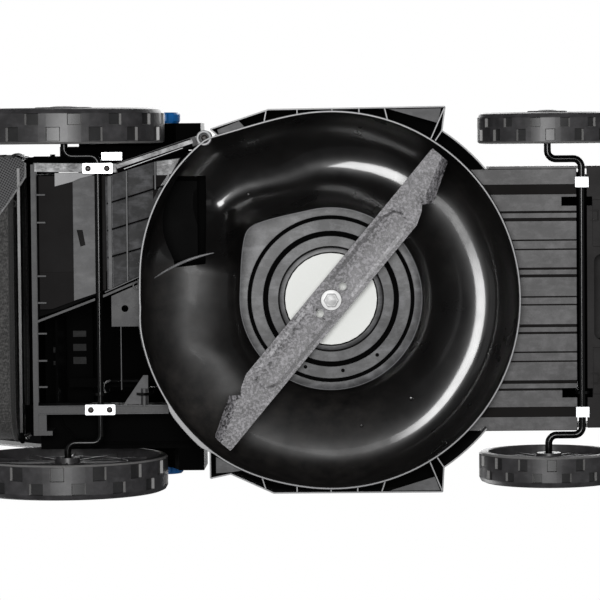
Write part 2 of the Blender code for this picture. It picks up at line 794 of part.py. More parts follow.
def build_battery():
    rings = [battery_ring(0.096, 0.064, 0.018, 0.1960),
             battery_ring(0.096, 0.064, 0.018, lambda x: crown(x) + 0.0008),
             battery_ring(0.114, 0.080, 0.026, lambda x: crown(x) + 0.0008),
             battery_ring(0.111, 0.077, 0.026, lambda x: battery_top(x) - 0.006),
             battery_ring(0.108, 0.074, 0.026, lambda x: battery_top(x)),
             battery_ring(0.092, 0.060, 0.016, lambda x: battery_top(x)),
             battery_ring(0.092, 0.060, 0.016, 0.1985)]
    solid("battery_housing", loft(rings), "chassis", BLACK)
    rings = [battery_ring(0.106, 0.072, 0.024, lambda x: battery_top(x) + 0.0004),
             battery_ring(0.109, 0.075, 0.024, lambda x: battery_top(x) + 0.004),
             battery_ring(0.104, 0.070, 0.024, lambda x: battery_top(x) + 0.010),
             battery_ring(0.080, 0.050, 0.024, lambda x: battery_top(x) + 0.0125)]
    lid = solid("battery_lid", loft(rings), "battery_lid", GREY)
    knuckle = disc(0.004, -0.030, 0.030, LID_AXIS, "y", 10)
    fuse(lid, "battery_lid", knuckle)
    pack = [[(x, y, 0.1990) for x, y in rounded(0.073, 0.048, 0.010, (-0.074, 0.0), 2)],
            [(x, y, 0.2300) for x, y in rounded(0.073, 0.048, 0.010, (-0.074, 0.0), 2)],
            [(x, y, 0.2330) for x, y in rounded(0.070, 0.045, 0.010, (-0.074, 0.0), 2)],
            [(x, y, battery_top(x) - 0.008) for x, y in rounded(0.068, 0.043, 0.010, (-0.074, 0.0), 2)]]
    solid("battery_pack", loft(pack), "chassis", GREY)
    key = solid("safety_key", stack([(0.0045, 0.1990), (0.0045, 0.2200)], (0.0145, 0.0), "z", 10),
                "chassis", BLUE)
    fuse(key, "chassis", box(0.0125, 0.0165, -0.011, 0.011, 0.2180, 0.2400))


def build_carry_handle():
    x = 0.165
    foot = crown(x - 0.0070) + 0.0004
    corners = [(x, -0.066, foot), (x, -0.066, foot + 0.036), (x, 0.066, foot + 0.036), (x, 0.066, foot)]
    path = fillet(corners, 0.022, 4)
    solid("carry_handle", sweep(path, 0.0085, 10, 0.75, (1.0, 0.0, 0.0)), "chassis", BLACK)


# Motor and cutter

def build_motor():
    motor = stack([(0.0510, 0.0840), (0.0510, 0.0900), (0.0480, 0.0915), (0.0480, 0.1650),
                   (0.0440, 0.1700)], (0.0, 0.0), "z", 32)
    can = solid("motor_can", motor, "chassis", FLANGE)
    cut(can, "chassis", disc(0.0066, 0.07, 0.1300, (0.0, 0.0), "z", 16))
    shaft = solid("motor_shaft", disc(0.0062, 0.0632, 0.1280, (0.0, 0.0), "z", 16), "rotor", ZINC)
    cut(shaft, "rotor", disc(0.0043, 0.05, 0.0860, (0.0, 0.0), "z", 12))
    hub = [(0.0066, 0.0632), (0.0066, 0.0810), (0.0105, 0.0810), (0.0130, 0.0760), (0.0130, 0.0632)]
    solid("blade_hub", turned(hub, (0.0, 0.0, 0.0), "z", 20), "rotor", ZINC)
    washer = [(0.0044, 0.0570), (0.0044, 0.0596), (0.0117, 0.0596), (0.0117, 0.0570)]
    solid("blade_washer", turned(washer, (0.0, 0.0, 0.0), "z", 20), "rotor", ZINC)
    bolt = solid("blade_bolt", disc(0.0082, 0.0505, 0.0567, (0.0, 0.0), "z", 6), "rotor", ZINC)
    fuse(bolt, "rotor", disc(0.0040, 0.0550, 0.0840, (0.0, 0.0), "z", 12))


def blade_row(u, points):
    """One cross-section of the blade at u, from (v, rise) pairs, as a closed loop."""
    low = [(u, v, BLADE_Z + rise) for v, rise in points]
    high = [(u, v, BLADE_Z + rise + BLADE_THICK) for v, rise in points]
    return low + high[::-1]


def build_blade():
    """A flat bar with ground edges, stamped recess and a lifting wing behind each tip."""
    half = []
    half.append((16.0, [(-18.5, 0.0), (-11.5, 0.0), (0.0, 0.0), (11.5, 0.0), (18.5, 0.0)]))
    half.append((20.0, [(-18.5, 0.0), (-11.5, 0.001), (0.0, 0.001), (11.5, 0.001), (18.5, 0.0)]))
    half.append((97.0, [(-18.5, 0.0), (-11.5, 0.001), (0.0, 0.001), (10.5, 0.001), (18.5, 0.0)]))
    half.append((112.0, [(-18.5, 0.0), (-9.0, 0.0), (0.0, 0.0), (9.0, 0.0), (18.5, 0.0)]))
    half.append((131.8, [(-18.6, 0.0), (-8.0, 0.0), (1.0, 0.0), (6.5, 0.0), (9.4, 0.0)]))
    half.append((140.4, [(-18.6, 0.0), (-7.0, 0.0), (2.0, 0.0), (6.4, 0.0), (17.4, 0.0085)]))
    half.append((160.0, [(-18.7, 0.0), (-9.0, 0.0), (-3.0, 0.0), (0.4, 0.0), (10.4, 0.0105)]))
    half.append((179.0, [(-18.8, 0.0), (-14.0, 0.0), (-9.0, 0.0), (-5.6, 0.0), (3.4, 0.0115)]))
    half.append((182.0, [(-18.2, 0.0), (-14.0, 0.0), (-9.5, 0.0), (-6.8, 0.0), (1.5, 0.0110)]))
    rows = [(u, points) for u, points in half]
    mirrored = [(-u, [(-v, rise) for v, rise in points[::-1]]) for u, points in half[::-1]]
    rings = []
    for u, points in mirrored + rows:
        ring = []
        for x, y, z in blade_row(u * BLADE_STEP, [(v * BLADE_STEP, rise) for v, rise in points]):
            ring.append((x * math.cos(BLADE_HEADING) - y * math.sin(BLADE_HEADING),
                         x * math.sin(BLADE_HEADING) + y * math.cos(BLADE_HEADING), z))
        rings.append(ring)
    blade = solid("blade", loft(rings), "rotor", STEEL, 20.0)
    holes = []
    for u in (-17.8 * BLADE_STEP, 17.8 * BLADE_STEP):
        at = (u * math.cos(BLADE_HEADING), u * math.sin(BLADE_HEADING), 0.0)
        holes.append(disc(0.0045, 0.05, 0.07, at, "z", 12))
    holes.append(disc(0.0044, 0.05, 0.07, (0.0, 0.0), "z", 12))
    cut(blade, "rotor", group(*holes))


# Axles and wheels

def crank_rod(name, body, at, y_arm, y_end):
    """A rod bent into a crank at each side, its middle on the pivot line."""
    back = (at[0] - CRANK, at[2])
    corners = [(back[0], -y_end, back[1]), (back[0], -y_arm, back[1]), (at[0], -y_arm, at[2]),
               (at[0], y_arm, at[2]), (back[0], y_arm, back[1]), (back[0], y_end, back[1])]
    rod = solid(name, sweep(fillet(corners, 0.009, 3), ROD_RADIUS, 8), body, PAINTED)
    top = at[2] + LINK_ARM
    plate = []
    for i in range(7):
        angle = math.radians(180.0 * i / 6.0)
        plate.append((at[0] + 0.007 * math.cos(angle), top + 0.007 * math.sin(angle)))
    for i in range(7):
        angle = math.radians(180.0 + 180.0 * i / 6.0)
        plate.append((at[0] + 0.008 * math.cos(angle), at[2] + 0.008 * math.sin(angle)))
    fuse(rod, body, side_prism(plate, LINK_Y - 0.0015, LINK_Y + 0.0015))
    cut(rod, body, disc(0.0034, LINK_Y - 0.01, LINK_Y + 0.01, (at[0], 0.0, top), "y", 10))
    return rod


def wheel_profile(radius, cap, width, side):
    """(radius, along) of a wheel from its inner face outwards."""
    rim = radius - 0.0095
    line = [(0.0055, 0.003), (0.0135, 0.003), (0.0160, 0.015), (rim - 0.004, 0.018), (rim, 0.0005),
            (radius, 0.0025), (radius, width * 0.50), (radius, width - 0.0070),
            (radius - 0.0060, width), (radius - 0.020, width - 0.005), (cap + 0.003, width - 0.009),
            (0.0055, width - 0.009)]
    return [(r, side * a) for r, a in line]


def build_wheel(name, body, at, radius, cap, span, side):
    """A wheel with two staggered rows of square pockets round its tread."""
    width = span[1] - span[0]
    hub = (at[0] - CRANK, side * span[0], at[2])
    profile = wheel_profile(radius / math.cos(math.pi / TREAD_SECTORS), cap, width, side)
    form = turned(profile, hub, "y", TREAD_SECTORS)
    wheel = solid(name, form, body, TYRE, 40.0)
    shape = bmesh.new()
    shape.from_mesh(wheel.data)
    rows = {5: 0, 6: 1}
    pockets = []
    count = len(profile)
    shape.faces.ensure_lookup_table()
    for face in shape.faces[:count * TREAD_SECTORS]:
        sector, row = divmod(face.index, count)
        if row in rows and (sector + rows[row]) % 2 == 0:
            pockets.append(face)
    bmesh.ops.inset_individual(shape, faces=pockets, thickness=0.0026, depth=-0.002)
    shape.to_mesh(wheel.data)
    shape.free()
    wheel.data.set_sharp_from_angle(angle=math.radians(40.0))
    outer = width - 0.0087
    sections = [(cap * 0.92, outer), (cap, outer + 0.006), (cap, outer + 0.0095),
                (cap * 0.80, outer + 0.0118)]
    disc_cap = stack([(r, side * a + hub[1]) for r, a in sections], hub, "y", 18)
    solid(name.replace("wheel", "hubcap"), disc_cap, body, BLACK)


def build_axles():
    crank_rod("front_axle_rod", "front_axle", FRONT_ROD, 0.1535, 0.1950)
    crank_rod("rear_axle_rod", "rear_axle", REAR_ROD, 0.1610, 0.2040)
    for side, word in ((-1, "right"), (1, "left")):
        build_wheel("front_wheel_" + word, "front_wheel_" + word, FRONT_ROD, FRONT_RADIUS,
                    FRONT_CAP, FRONT_WHEEL_Y, side)
        build_wheel("rear_wheel_" + word, "rear_wheel_" + word, REAR_ROD, REAR_RADIUS,
                    REAR_CAP, REAR_WHEEL_Y, side)
        y = side * 0.1277
        bridge = [(0.2712, 0.0737), (0.2712, 0.0715), (0.2858, 0.0715), (0.2858, 0.0737),
                  (0.2845, 0.0737), (0.2838, 0.0729), (0.2732, 0.0729), (0.2725, 0.0737)]
        solid("front_clip_" + word, side_prism(bridge, y - 0.0057, y + 0.0057), "chassis", ZINC)
        centre = -0.1471 if side < 0 else 0.1234
        solid("rear_clamp_" + word,
              prism(rounded(0.0171, 0.0060, 0.0015, (REAR_ROD[0], centre), 1), 0.1047, 0.1067),
              "chassis", ZINC)
    solid("axle_stop_plate", box(-0.2560, -0.2330, -0.1648, -0.1560, 0.1240, 0.1260), "chassis", ZINC)


def build_linkage():
    rear = (REAR_ROD[0], REAR_ROD[2] + LINK_ARM)
    front = (FRONT_ROD[0], FRONT_ROD[2] + LINK_ARM)
    y = LINK_Y - 0.010
    corners = [(rear[0], LINK_Y + 0.004, rear[1]), (rear[0], y, rear[1]), (front[0], y, front[1]),
               (front[0], LINK_Y + 0.004, front[1])]
    link = solid("link_rod", sweep(fillet(corners, 0.006, 3), 0.003, 8), "link", ZINC)
    pin_z = link_height(LEVER_X)
    fuse(link, "link", disc(0.003, y, LINK_Y + 0.004, (LEVER_X, 0.0, pin_z), "y", 8))
    x, z = LEVER_X, pin_z - LINK_ARM
    strip = []
    for i in range(5):
        angle = math.radians(180.0 + 45.0 * i)
        strip.append((x + 0.009 * math.cos(angle), z + 0.009 * math.sin(angle)))
    lean = math.radians(LEVER_LEAN)
    tip = (x + 0.183 * math.sin(lean), z + 0.183 * math.cos(lean))
    strip += [(x + 0.008, z + 0.075), (tip[0] + 0.006, tip[1] - 0.002), (tip[0] - 0.006, tip[1] + 0.002),
              (x - 0.008, z + 0.079)]
    lever = solid("height_lever", side_prism(strip, LINK_Y - 0.0015, LINK_Y + 0.0015), "lever", ZINC)
    cut(lever, "lever", disc(0.0044, LINK_Y - 0.01, LINK_Y + 0.01, (x, 0.0, z), "y", 10))
    cut(lever, "lever", disc(0.0034, LINK_Y - 0.01, LINK_Y + 0.01, (x, 0.0, pin_z), "y", 10))
    along = Vector((math.sin(lean), 0.0, math.cos(lean)))
    across = Vector((math.cos(lean), 0.0, -math.sin(lean)))
    base = Vector((x, LINK_Y, z))
    rings = []
    for far, half_x, half_y in ((0.186, 0.009, 0.011), (0.192, 0.012, 0.015), (0.216, 0.013, 0.016),
                                (0.222, 0.008, 0.011)):
        ring = []
        for u, v in rounded(half_x, half_y, min(half_x, half_y) * 0.6, (0.0, 0.0), 2):
            ring.append(tuple(base + along * far + across * u + Vector((0.0, v, 0.0))))
        rings.append(ring)
    solid("lever_grip", loft(rings), "lever", BLUE)
    build_rack(z)


def build_rack(pivot_z):
    """A notched strip on the hood that holds the lever at seven heights."""
    edge = []
    for number in range(7):
        swing = math.radians(LEVER_LEAN - 30.0 + 10.0 * number)
        x = LEVER_X + (crown(LEVER_X) - pivot_z) * math.tan(swing)
        edge += [(x - 0.0035, 0.1092), (x - 0.0025, 0.1122), (x + 0.0025, 0.1122), (x + 0.0035, 0.1092)]
    first = edge[0][0] - 0.008
    last = edge[-1][0] + 0.008
    outline = [(first, 0.1092)] + edge + [(last, 0.1092), (last, 0.1190), (first, 0.1190)]
    low = [(x, y, crown(x) + 0.0004) for x, y in outline]
    high = [(x, y, crown(x) + 0.0030) for x, y in outline]
    solid("height_rack", loft([low, high]), "chassis", ZINC)


# Handle

def along_handle(distance, y, lift=0.0):
    """A point at a distance up the handle from its pivot, lifted square to it."""
    x = PIVOT[0] - distance * math.cos(HANDLE_LEAN) + lift * math.sin(HANDLE_LEAN)
    z = PIVOT[2] + distance * math.sin(HANDLE_LEAN) + lift * math.cos(HANDLE_LEAN)
    return (x, y, z)


def handle_ring(distance, y, half_y, half_lift, sides=12):
    ring = []
    for i in range(sides):
        angle = 2.0 * math.pi * (i + 0.5) / sides
        ring.append(along_handle(distance, y + half_y * math.cos(angle), half_lift * math.sin(angle)))
    return ring


def build_handle():
    for side, word in ((-1, "right"), (1, "left")):
        y = side * LOWER_Y
        rings = [handle_ring(-0.012, y, 0.0035, 0.009), handle_ring(0.020, y, 0.0035, 0.0135),
                 handle_ring(0.030, y, 0.0040, 0.0135), handle_ring(0.060, y, TUBE_RADIUS, TUBE_RADIUS),
                 handle_ring(LOWER_LENGTH + 0.030, y, TUBE_RADIUS, TUBE_RADIUS)]
        tube = solid("lower_handle_" + word, loft(rings), "lower_handle", PAINTED)
        joint = along_handle(LOWER_LENGTH, 0.0)
        cut(tube, "lower_handle", disc(0.0044, min(0.0, side * 0.3), max(0.0, side * 0.3), PIVOT, "y", 10),
            disc(0.0034, min(0.0, side * 0.3), max(0.0, side * 0.3), joint, "y", 10))

        pod = [(-0.1450, 0.1500), (-0.1430, 0.2230), (-0.1560, 0.2355), (-0.2300, 0.2355),
               (-0.2830, 0.2560)]
        arc = []
        for i in range(8):
            angle = math.radians(90.0 - 82.0 * i / 7.0)
            arc.append((-0.2900 + 0.1180 * math.cos(angle), 0.1340 + 0.1180 * math.sin(angle)))
        outline = pod[:1] + arc[::-1] + pod[:0:-1]
        bracket = solid("handle_bracket_" + word,
                        side_prism(outline, side * 0.1668, side * 0.1970), "chassis", BLACK)
        cheeks = []
        for low, high in ((0.1668, 0.1822), (0.1908, 0.1970)):
            cheek = []
            for degrees in range(0, 181, 20):
                angle = math.radians(degrees)
                cheek.append((PIVOT[0] + 0.021 * math.cos(angle), PIVOT[2] + 0.021 * math.sin(angle)))
            cheek += [(PIVOT[0] - 0.026, 0.230), (PIVOT[0] + 0.026, 0.230)]
            cheeks.append(side_prism(cheek, side * low, side * high))
        fuse(bracket, "chassis", *cheeks)
        cut(bracket, "chassis",
            disc(0.0044, min(side * 0.16, side * 0.21), max(side * 0.16, side * 0.21), PIVOT, "y", 10))

        knob_sections = [(0.0195, 0.1975), (0.0215, 0.2000), (0.0215, 0.2075), (0.0190, 0.2100)]
        knob = solid("handle_knob_" + word,
                     stack([(r, side * a) for r, a in knob_sections], PIVOT, "y", 24),
                     "knob_" + word, BLUE)
        fuse(knob, "knob_" + word,
             disc(0.0040, min(side * 0.17, side * 0.20), max(side * 0.17, side * 0.20), PIVOT, "y", 10))
        lobes = []
        for i in range(6):
            angle = 2.0 * math.pi * i / 6.0
            at = (PIVOT[0] + 0.0250 * math.cos(angle), 0.0, PIVOT[2] + 0.0250 * math.sin(angle))
            lobes.append(disc(0.0062, min(side * 0.19, side * 0.22), max(side * 0.19, side * 0.22),
                              at, "y", 8))
        cut(knob, "knob_" + word, group(*lobes))

    corners = [along_handle(LOWER_LENGTH - 0.030, -UPPER_Y), along_handle(HANDLE_LENGTH, -UPPER_Y),
               along_handle(HANDLE_LENGTH, UPPER_Y), along_handle(LOWER_LENGTH - 0.030, UPPER_Y)]
    bar = solid("upper_handle", sweep(fillet(corners, 0.050, 5), TUBE_RADIUS, 12), "upper_handle",
                PAINTED)
    joint = along_handle(LOWER_LENGTH, 0.0)
    cut(bar, "upper_handle", group(disc(0.0034, -0.18, -0.14, joint, "y", 10),
                                   disc(0.0034, 0.14, 0.18, joint, "y", 10)))
    grip = [(TUBE_RADIUS + 0.0008, -0.095), (0.0150, -0.095), (0.0150, 0.095), (TUBE_RADIUS + 0.0008, 0.095)]
    solid("grip_sleeve", turned(grip, along_handle(HANDLE_LENGTH, 0.0), "y", 16), "upper_handle", FOAM)
    build_clamps(joint)
    build_controls()


def build_clamps(joint):
    """A bolt through both tubes with a lever on its head that turns to clamp them."""
    for side, word in ((-1, "right"), (1, "left")):
        body = "clamp_" + word
        low, high = sorted((side * 0.1480, side * 0.2030))
        clamp_bolt = solid("clamp_lever_" + word, disc(0.0030, low, high, joint, "y", 10), body, BLUE)
        low, high = sorted((side * 0.1985, side * 0.2085))
        outline = []
        for far, lift in ((-0.010, -0.007), (-0.010, 0.007), (0.010, 0.008), (0.055, 0.006),
                          (0.060, 0.003), (0.060, -0.003), (0.055, -0.006), (0.010, -0.008)):
            point = along_handle(LOWER_LENGTH - far, 0.0, lift)
            outline.append((point[0], point[2]))
        fuse(clamp_bolt, body, side_prism(outline, low, high))
        low, high = sorted((side * 0.1445, side * 0.1505))
        fuse(clamp_bolt, body, disc(0.0065, low, high, joint, "y", 6))


def handle_box(low, high, y0, y1, lift0, lift1, chamfer=0.0):
    """A block set square to the handle, between two distances along it."""
    rings = []
    for far, shrink in ((low, chamfer), (low + chamfer, 0.0), (high - chamfer, 0.0), (high, chamfer)):
        rings.append([along_handle(far, y0 + shrink, lift0 + shrink),
                      along_handle(far, y1 - shrink, lift0 + shrink),
                      along_handle(far, y1 - shrink, lift1 - shrink),
                      along_handle(far, y0 + shrink, lift1 - shrink)])
    return loft(rings)


def handle_rod(radius, low, high, y, sides=12):
    return loft([handle_ring(low, y, radius, radius, sides), handle_ring(high, y, radius, radius, sides)])


def build_controls():
    case = solid("switch_box", handle_box(0.800, 0.925, -0.1820, -0.0950, -0.0190, 0.0260, 0.006),
                 "upper_handle", BLACK)
    cut(case, "upper_handle", handle_rod(TUBE_RADIUS + 0.0004, 0.75, 0.97, -UPPER_Y))
    cut(case, "upper_handle", handle_box(0.8235, 0.8465, -0.1315, -0.1085, 0.0120, 0.0400))
    cut(case, "upper_handle",
        disc(0.0044, -0.1300, -0.0800, along_handle(BAIL_AT, 0.0, 0.004), "y", 10))
    solid("start_button", handle_box(0.8240, 0.8460, -0.1310, -0.1090, 0.0180, 0.0320, 0.002),
          "start_button", BLUE)
    mate = solid("bail_bracket", handle_box(0.875, 0.925, 0.1400, 0.1820, -0.0170, 0.0200, 0.005),
                 "upper_handle", BLACK)
    cut(mate, "upper_handle", handle_rod(TUBE_RADIUS + 0.0004, 0.85, 0.97, UPPER_Y))
    cut(mate, "upper_handle",
        disc(0.0044, 0.1300, 0.1490, along_handle(BAIL_AT, 0.0, 0.004), "y", 10))
    swing = math.radians(38.0)
    reach = 0.113
    far = BAIL_AT + reach * math.cos(swing)
    lift = 0.004 + reach * math.sin(swing)
    corners = [along_handle(BAIL_AT, -0.1150, 0.004), along_handle(BAIL_AT, -0.0860, 0.004),
               along_handle(far, -0.0860, lift), along_handle(far, 0.1300, lift),
               along_handle(BAIL_AT, 0.1300, 0.004), along_handle(BAIL_AT, 0.1470, 0.004)]
    bail = sweep(fillet(corners, 0.007, 3), 0.0035, 8)
    solid("bail_lever", bail, "bail", PAINTED)


# Flap and bag

def lean_plate(start, angle, lengths, thickness, y0, y1):
    """A plate across the mower that rises backwards at an angle from start."""
    along = Vector((-math.cos(angle), math.sin(angle)))
    across = Vector((math.sin(angle), math.cos(angle)))
    near = Vector(start) + along * lengths[0]
    far = Vector(start) + along * lengths[1]
    outline = [tuple(near), tuple(far), tuple(far + across * thickness), tuple(near + across * thickness)]
    return side_prism(outline, y0, y1)


def build_flap():
    angle = math.radians(45.0)
    start = (FLAP_PIN[0], FLAP_PIN[2])
    flap = solid("rear_flap", lean_plate(start, angle, (0.002, 0.125), 0.003, -0.1430, 0.1430),
                 "flap", BLACK)
    low = Vector(start)
    for y0, y1 in ((-0.143, -0.118), (0.118, 0.143)):
        ring = turned([(0.0034, y0), (0.0034, y1), (0.0068, y1), (0.0068, y0)],
                      (low[0], 0.0, low[1]), "y", 12)
        fuse(flap, "flap", ring)
    cut(flap, "flap", disc(0.0034, -0.16, 0.16, FLAP_PIN, "y", 12))
    cut(flap, "flap", box(FLAP_PIN[0] - 0.0090, FLAP_PIN[0] + 0.01, -0.1177, 0.1177, 0.26, 0.2835))
    solid("flap_pin", disc(0.0030, -0.1625, 0.1625, FLAP_PIN, "y", 12), "chassis", ZINC)


def bag_section(x, inset):
    """A rounded section of the bag at x, larger at its mouth and low at its tail."""
    share = clamp((MOUTH_X - x) / (MOUTH_X - BAG_TAIL_X), 0.0, 1.0)
    half = blend(BAG_HALF, 0.150, ease(share)) - inset
    low = blend(0.1060, 0.1250, share) - 0.010 * math.sin(math.pi * share) + inset
    high = bag_top(x) - 0.0045 - inset
    middle = (low + high) / 2.0
    tall = (high - low) / 2.0
    section = []
    for i in range(16):
        angle = 2.0 * math.pi * (i + 0.5) / 16.0
        c = math.cos(angle)
        s = math.sin(angle)
        section.append((x, half * math.copysign(abs(c) ** 0.42, c),
                        middle + tall * math.copysign(abs(s) ** 0.42, s)))
    return section


def bag_top(x):
    return through(((BAG_TAIL_X, 0.350), (-0.770, 0.370), (-0.720, 0.384), (-0.600, 0.394),
                    (-0.460, 0.388), (-0.432, 0.378), (-0.352, 0.298), (MOUTH_X, 0.294)), x)


def build_bag():
    stations = (MOUTH_X - 0.008, -0.400, -0.440, -0.520, -0.620, -0.720, -0.775, BAG_TAIL_X)
    outer = [bag_section(x, 0.0) for x in stations]
    tail = [(x + 0.003, y, z) for x, y, z in bag_section(BAG_TAIL_X, 0.003)]
    inner = [bag_section(x, 0.003) for x in stations[:-1]]
    solid("bag_fabric", loft(outer[::-1] + inner + [tail]), "bag", CLOTH)

    z0, z1 = 0.1080, 0.2860
    half = BAG_HALF - 0.004
    corners = [(MOUTH_X, 0.0, z0), (MOUTH_X, half, z0), (MOUTH_X, half, z1), (MOUTH_X, 0.0, z1)]
    other = [(x, -y, z) for x, y, z in corners]
    path = fillet(corners, 0.010, 3)[:-1] + fillet(other, 0.010, 3)[::-1][:-1]
    rings = []
    count = len(path)
    for i, point in enumerate(path):
        tangent = (path[(i + 1) % count] - path[i - 1]).normalized()
        normal = Vector((1.0, 0.0, 0.0))
        across = tangent.cross(normal)
        ring = []
        for j in range(8):
            angle = 2.0 * math.pi * (j + 0.5) / 8.0
            ring.append(tuple(point + (normal * math.cos(angle) + across * math.sin(angle)) * 0.004))
        rings.append(ring)
    frame = solid("bag_frame", loft(rings, closed=True), "bag", PAINTED)
    prongs = []
    for y in (-half, half):
        z = FLAP_PIN[2] + 0.0060
        prong = [(MOUTH_X, y, z), (-0.3180, y, z), (-0.3130, y, z + 0.0035)]
        prongs.append(sweep(prong, 0.0025, 8))
    fuse(frame, "bag", group(*prongs))

    rings = []
    for x in (-0.3560, -0.432, -0.460, -0.600, -0.720, -0.770, BAG_TAIL_X + 0.002):
        share = clamp((MOUTH_X - x) / (MOUTH_X - BAG_TAIL_X), 0.0, 1.0)
        half = blend(BAG_HALF, 0.150, ease(share)) + 0.0005
        top = bag_top(x)
        upper = [(-half, -0.020), (-half + 0.006, -0.006), (-half * 0.7, 0.0), (half * 0.7, 0.0),
                 (half - 0.006, -0.006), (half, -0.020)]
        lower = [(half - 0.0025, -0.020), (half - 0.008, -0.0085), (half * 0.7, -0.0025),
                 (-half * 0.7, -0.0025), (-half + 0.008, -0.0085), (-half + 0.0025, -0.020)]
        rings.append([(x, y, top + z) for y, z in upper + lower])
    lid = solid("bag_lid", loft(rings), "bag", BLACK)
    cut(lid, "bag", box(-0.6400, -0.5600, -0.0500, 0.0500, 0.3, 0.5))
    corners = [(-0.500, 0.0, bag_top(-0.500) + 0.0012), (-0.500, 0.0, BAG_GRIP_Z),
               (-0.700, 0.0, BAG_GRIP_Z), (-0.700, 0.0, bag_top(-0.690) + 0.0012)]
    handle = fillet(corners, 0.018, 4)
    solid("bag_handle", sweep(handle, 0.0085, 10, 0.8, (0.0, 1.0, 0.0)), "bag", BLACK)
    solid("level_flap", box(-0.6392, -0.5608, -0.0492, 0.0492, 0.3908, 0.3928), "level_flap", BLUE)


def build_anchors():
    anchor("chassis", (0.0, 0.0, 0.0))
    anchor("rotor", (0.0, 0.0, BLADE_Z), "chassis")
    anchor("front_axle", FRONT_ROD, "chassis")
    anchor("rear_axle", REAR_ROD, "chassis")
    anchor("lever", (LEVER_X, LINK_Y, link_height(LEVER_X) - LINK_ARM), "chassis")
    anchor("link", (REAR_ROD[0], LINK_Y, REAR_ROD[2] + LINK_ARM), "rear_axle")
    for side, word in ((-1, "right"), (1, "left")):
        anchor("front_wheel_" + word,
               (FRONT_ROD[0] - CRANK, side * FRONT_WHEEL_Y[0], FRONT_ROD[2]), "front_axle")
        anchor("rear_wheel_" + word,
               (REAR_ROD[0] - CRANK, side * REAR_WHEEL_Y[0], REAR_ROD[2]), "rear_axle")
        anchor("knob_" + word, (PIVOT[0], side * LOWER_Y, PIVOT[2]), "chassis")
    anchor("battery_lid", LID_AXIS, "chassis")
    anchor("lower_handle", PIVOT, "chassis")
    anchor("upper_handle", along_handle(LOWER_LENGTH, 0.0), "lower_handle")
    for side, word in ((-1, "right"), (1, "left")):
        anchor("clamp_" + word, along_handle(LOWER_LENGTH, side * 0.2035), "upper_handle")
    anchor("start_button", along_handle(0.835, -0.120, 0.026), "upper_handle")
    anchor("bail", along_handle(BAIL_AT, 0.0, 0.004), "upper_handle")
    anchor("flap", FLAP_PIN, "chassis")
    anchor("bag", (MOUTH_X, 0.0, 0.277), "chassis")
    anchor("level_flap", (-0.5608, 0.0, 0.3918), "bag")


def main():
    clear_scene()
    build_anchors()
    build_deck()
    build_front_panel()
    build_front_nose()
    build_chassis()
    build_chute()
    build_hood()
    build_battery()
    build_carry_handle()
    build_motor()
    build_blade()
    build_axles()
    build_linkage()
    build_handle()
    build_flap()
    build_bag()


main()
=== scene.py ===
"""Looks for a cordless lawn mower seen from below: materials, finer forms, light and camera.

Metres, in the frame of the solids: +X is the front, +Y the left side, z = 0 is the ground.
"""

import json
import math

import bmesh
import bpy
from mathutils import Matrix, Vector


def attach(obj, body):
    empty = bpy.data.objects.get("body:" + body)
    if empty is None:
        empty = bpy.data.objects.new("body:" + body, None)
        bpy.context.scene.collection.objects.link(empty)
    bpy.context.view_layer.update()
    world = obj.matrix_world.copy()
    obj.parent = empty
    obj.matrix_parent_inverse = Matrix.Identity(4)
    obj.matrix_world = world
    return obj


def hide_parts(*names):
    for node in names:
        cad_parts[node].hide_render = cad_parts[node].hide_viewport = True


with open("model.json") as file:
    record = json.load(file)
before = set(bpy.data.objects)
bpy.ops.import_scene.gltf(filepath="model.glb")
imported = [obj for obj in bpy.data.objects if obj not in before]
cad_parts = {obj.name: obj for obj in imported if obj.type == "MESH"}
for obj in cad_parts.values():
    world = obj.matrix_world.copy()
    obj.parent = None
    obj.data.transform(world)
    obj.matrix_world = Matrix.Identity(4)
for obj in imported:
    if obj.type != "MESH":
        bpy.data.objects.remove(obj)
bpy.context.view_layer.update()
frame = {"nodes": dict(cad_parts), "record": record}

# The blade's axis stands here in the frame
BLADE_X = 0.2839

# A turned form stays this far from its axis, so that its middle closes without a point
CORE = 0.0001


# Shader arithmetic

class Wire:
    """A shader value that can be added, multiplied and compared like a number."""

    def __init__(self, board, socket):
        self.board = board
        self.socket = socket

    def join(self, operation, first, second=0.0):
        return self.board.node("ShaderNodeMath", {"operation": operation}, {0: first, 1: second}).out()

    def __add__(self, other):
        return self.join("ADD", self, other)

    def __mul__(self, other):
        return self.join("MULTIPLY", self, other)

    def __sub__(self, other):
        return self.join("SUBTRACT", self, other)

    def __rsub__(self, other):
        return self.join("SUBTRACT", other, self)

    def __pow__(self, other):
        return self.join("POWER", self, other)

    def above(self, limit):
        return self.join("GREATER_THAN", self, limit)


class Made:
    """A shader node whose outputs are asked for by name or number."""

    def __init__(self, board, node):
        self.board = board
        self.item = node

    def out(self, name=0):
        return Wire(self.board, self.item.outputs[name])


class Board:
    """The nodes of a material or of the world, all made by one method."""

    def __init__(self, owner, shader, output):
        owner.use_nodes = True
        self.tree = owner.node_tree
        self.shader = self.tree.nodes[shader]
        self.surface = self.tree.nodes[output].inputs["Surface"]

    def node(self, kind, settings=None, sockets=None):
        item = self.tree.nodes.new(kind)
        for key, value in (settings or {}).items():
            setattr(item, key, value)
        for key, value in (sockets or {}).items():
            self.feed(item.inputs[key], value)
        return Made(self, item)

    def feed(self, socket, value):
        if isinstance(value, Wire):
            self.tree.links.new(value.socket, socket)
        else:
            socket.default_value = value

    def set(self, **values):
        """Feed the main shader; names use _ for a space."""
        for key, value in values.items():
            self.feed(self.shader.inputs[key.replace("_", " ")], value)

    def show_mix(self, share, second):
        """Lay a second shader over the main one by this share, and show the result."""
        sockets = {0: share, 1: Made(self, self.shader).out(), 2: second}
        self.feed(self.surface, self.node("ShaderNodeMixShader", None, sockets).out())


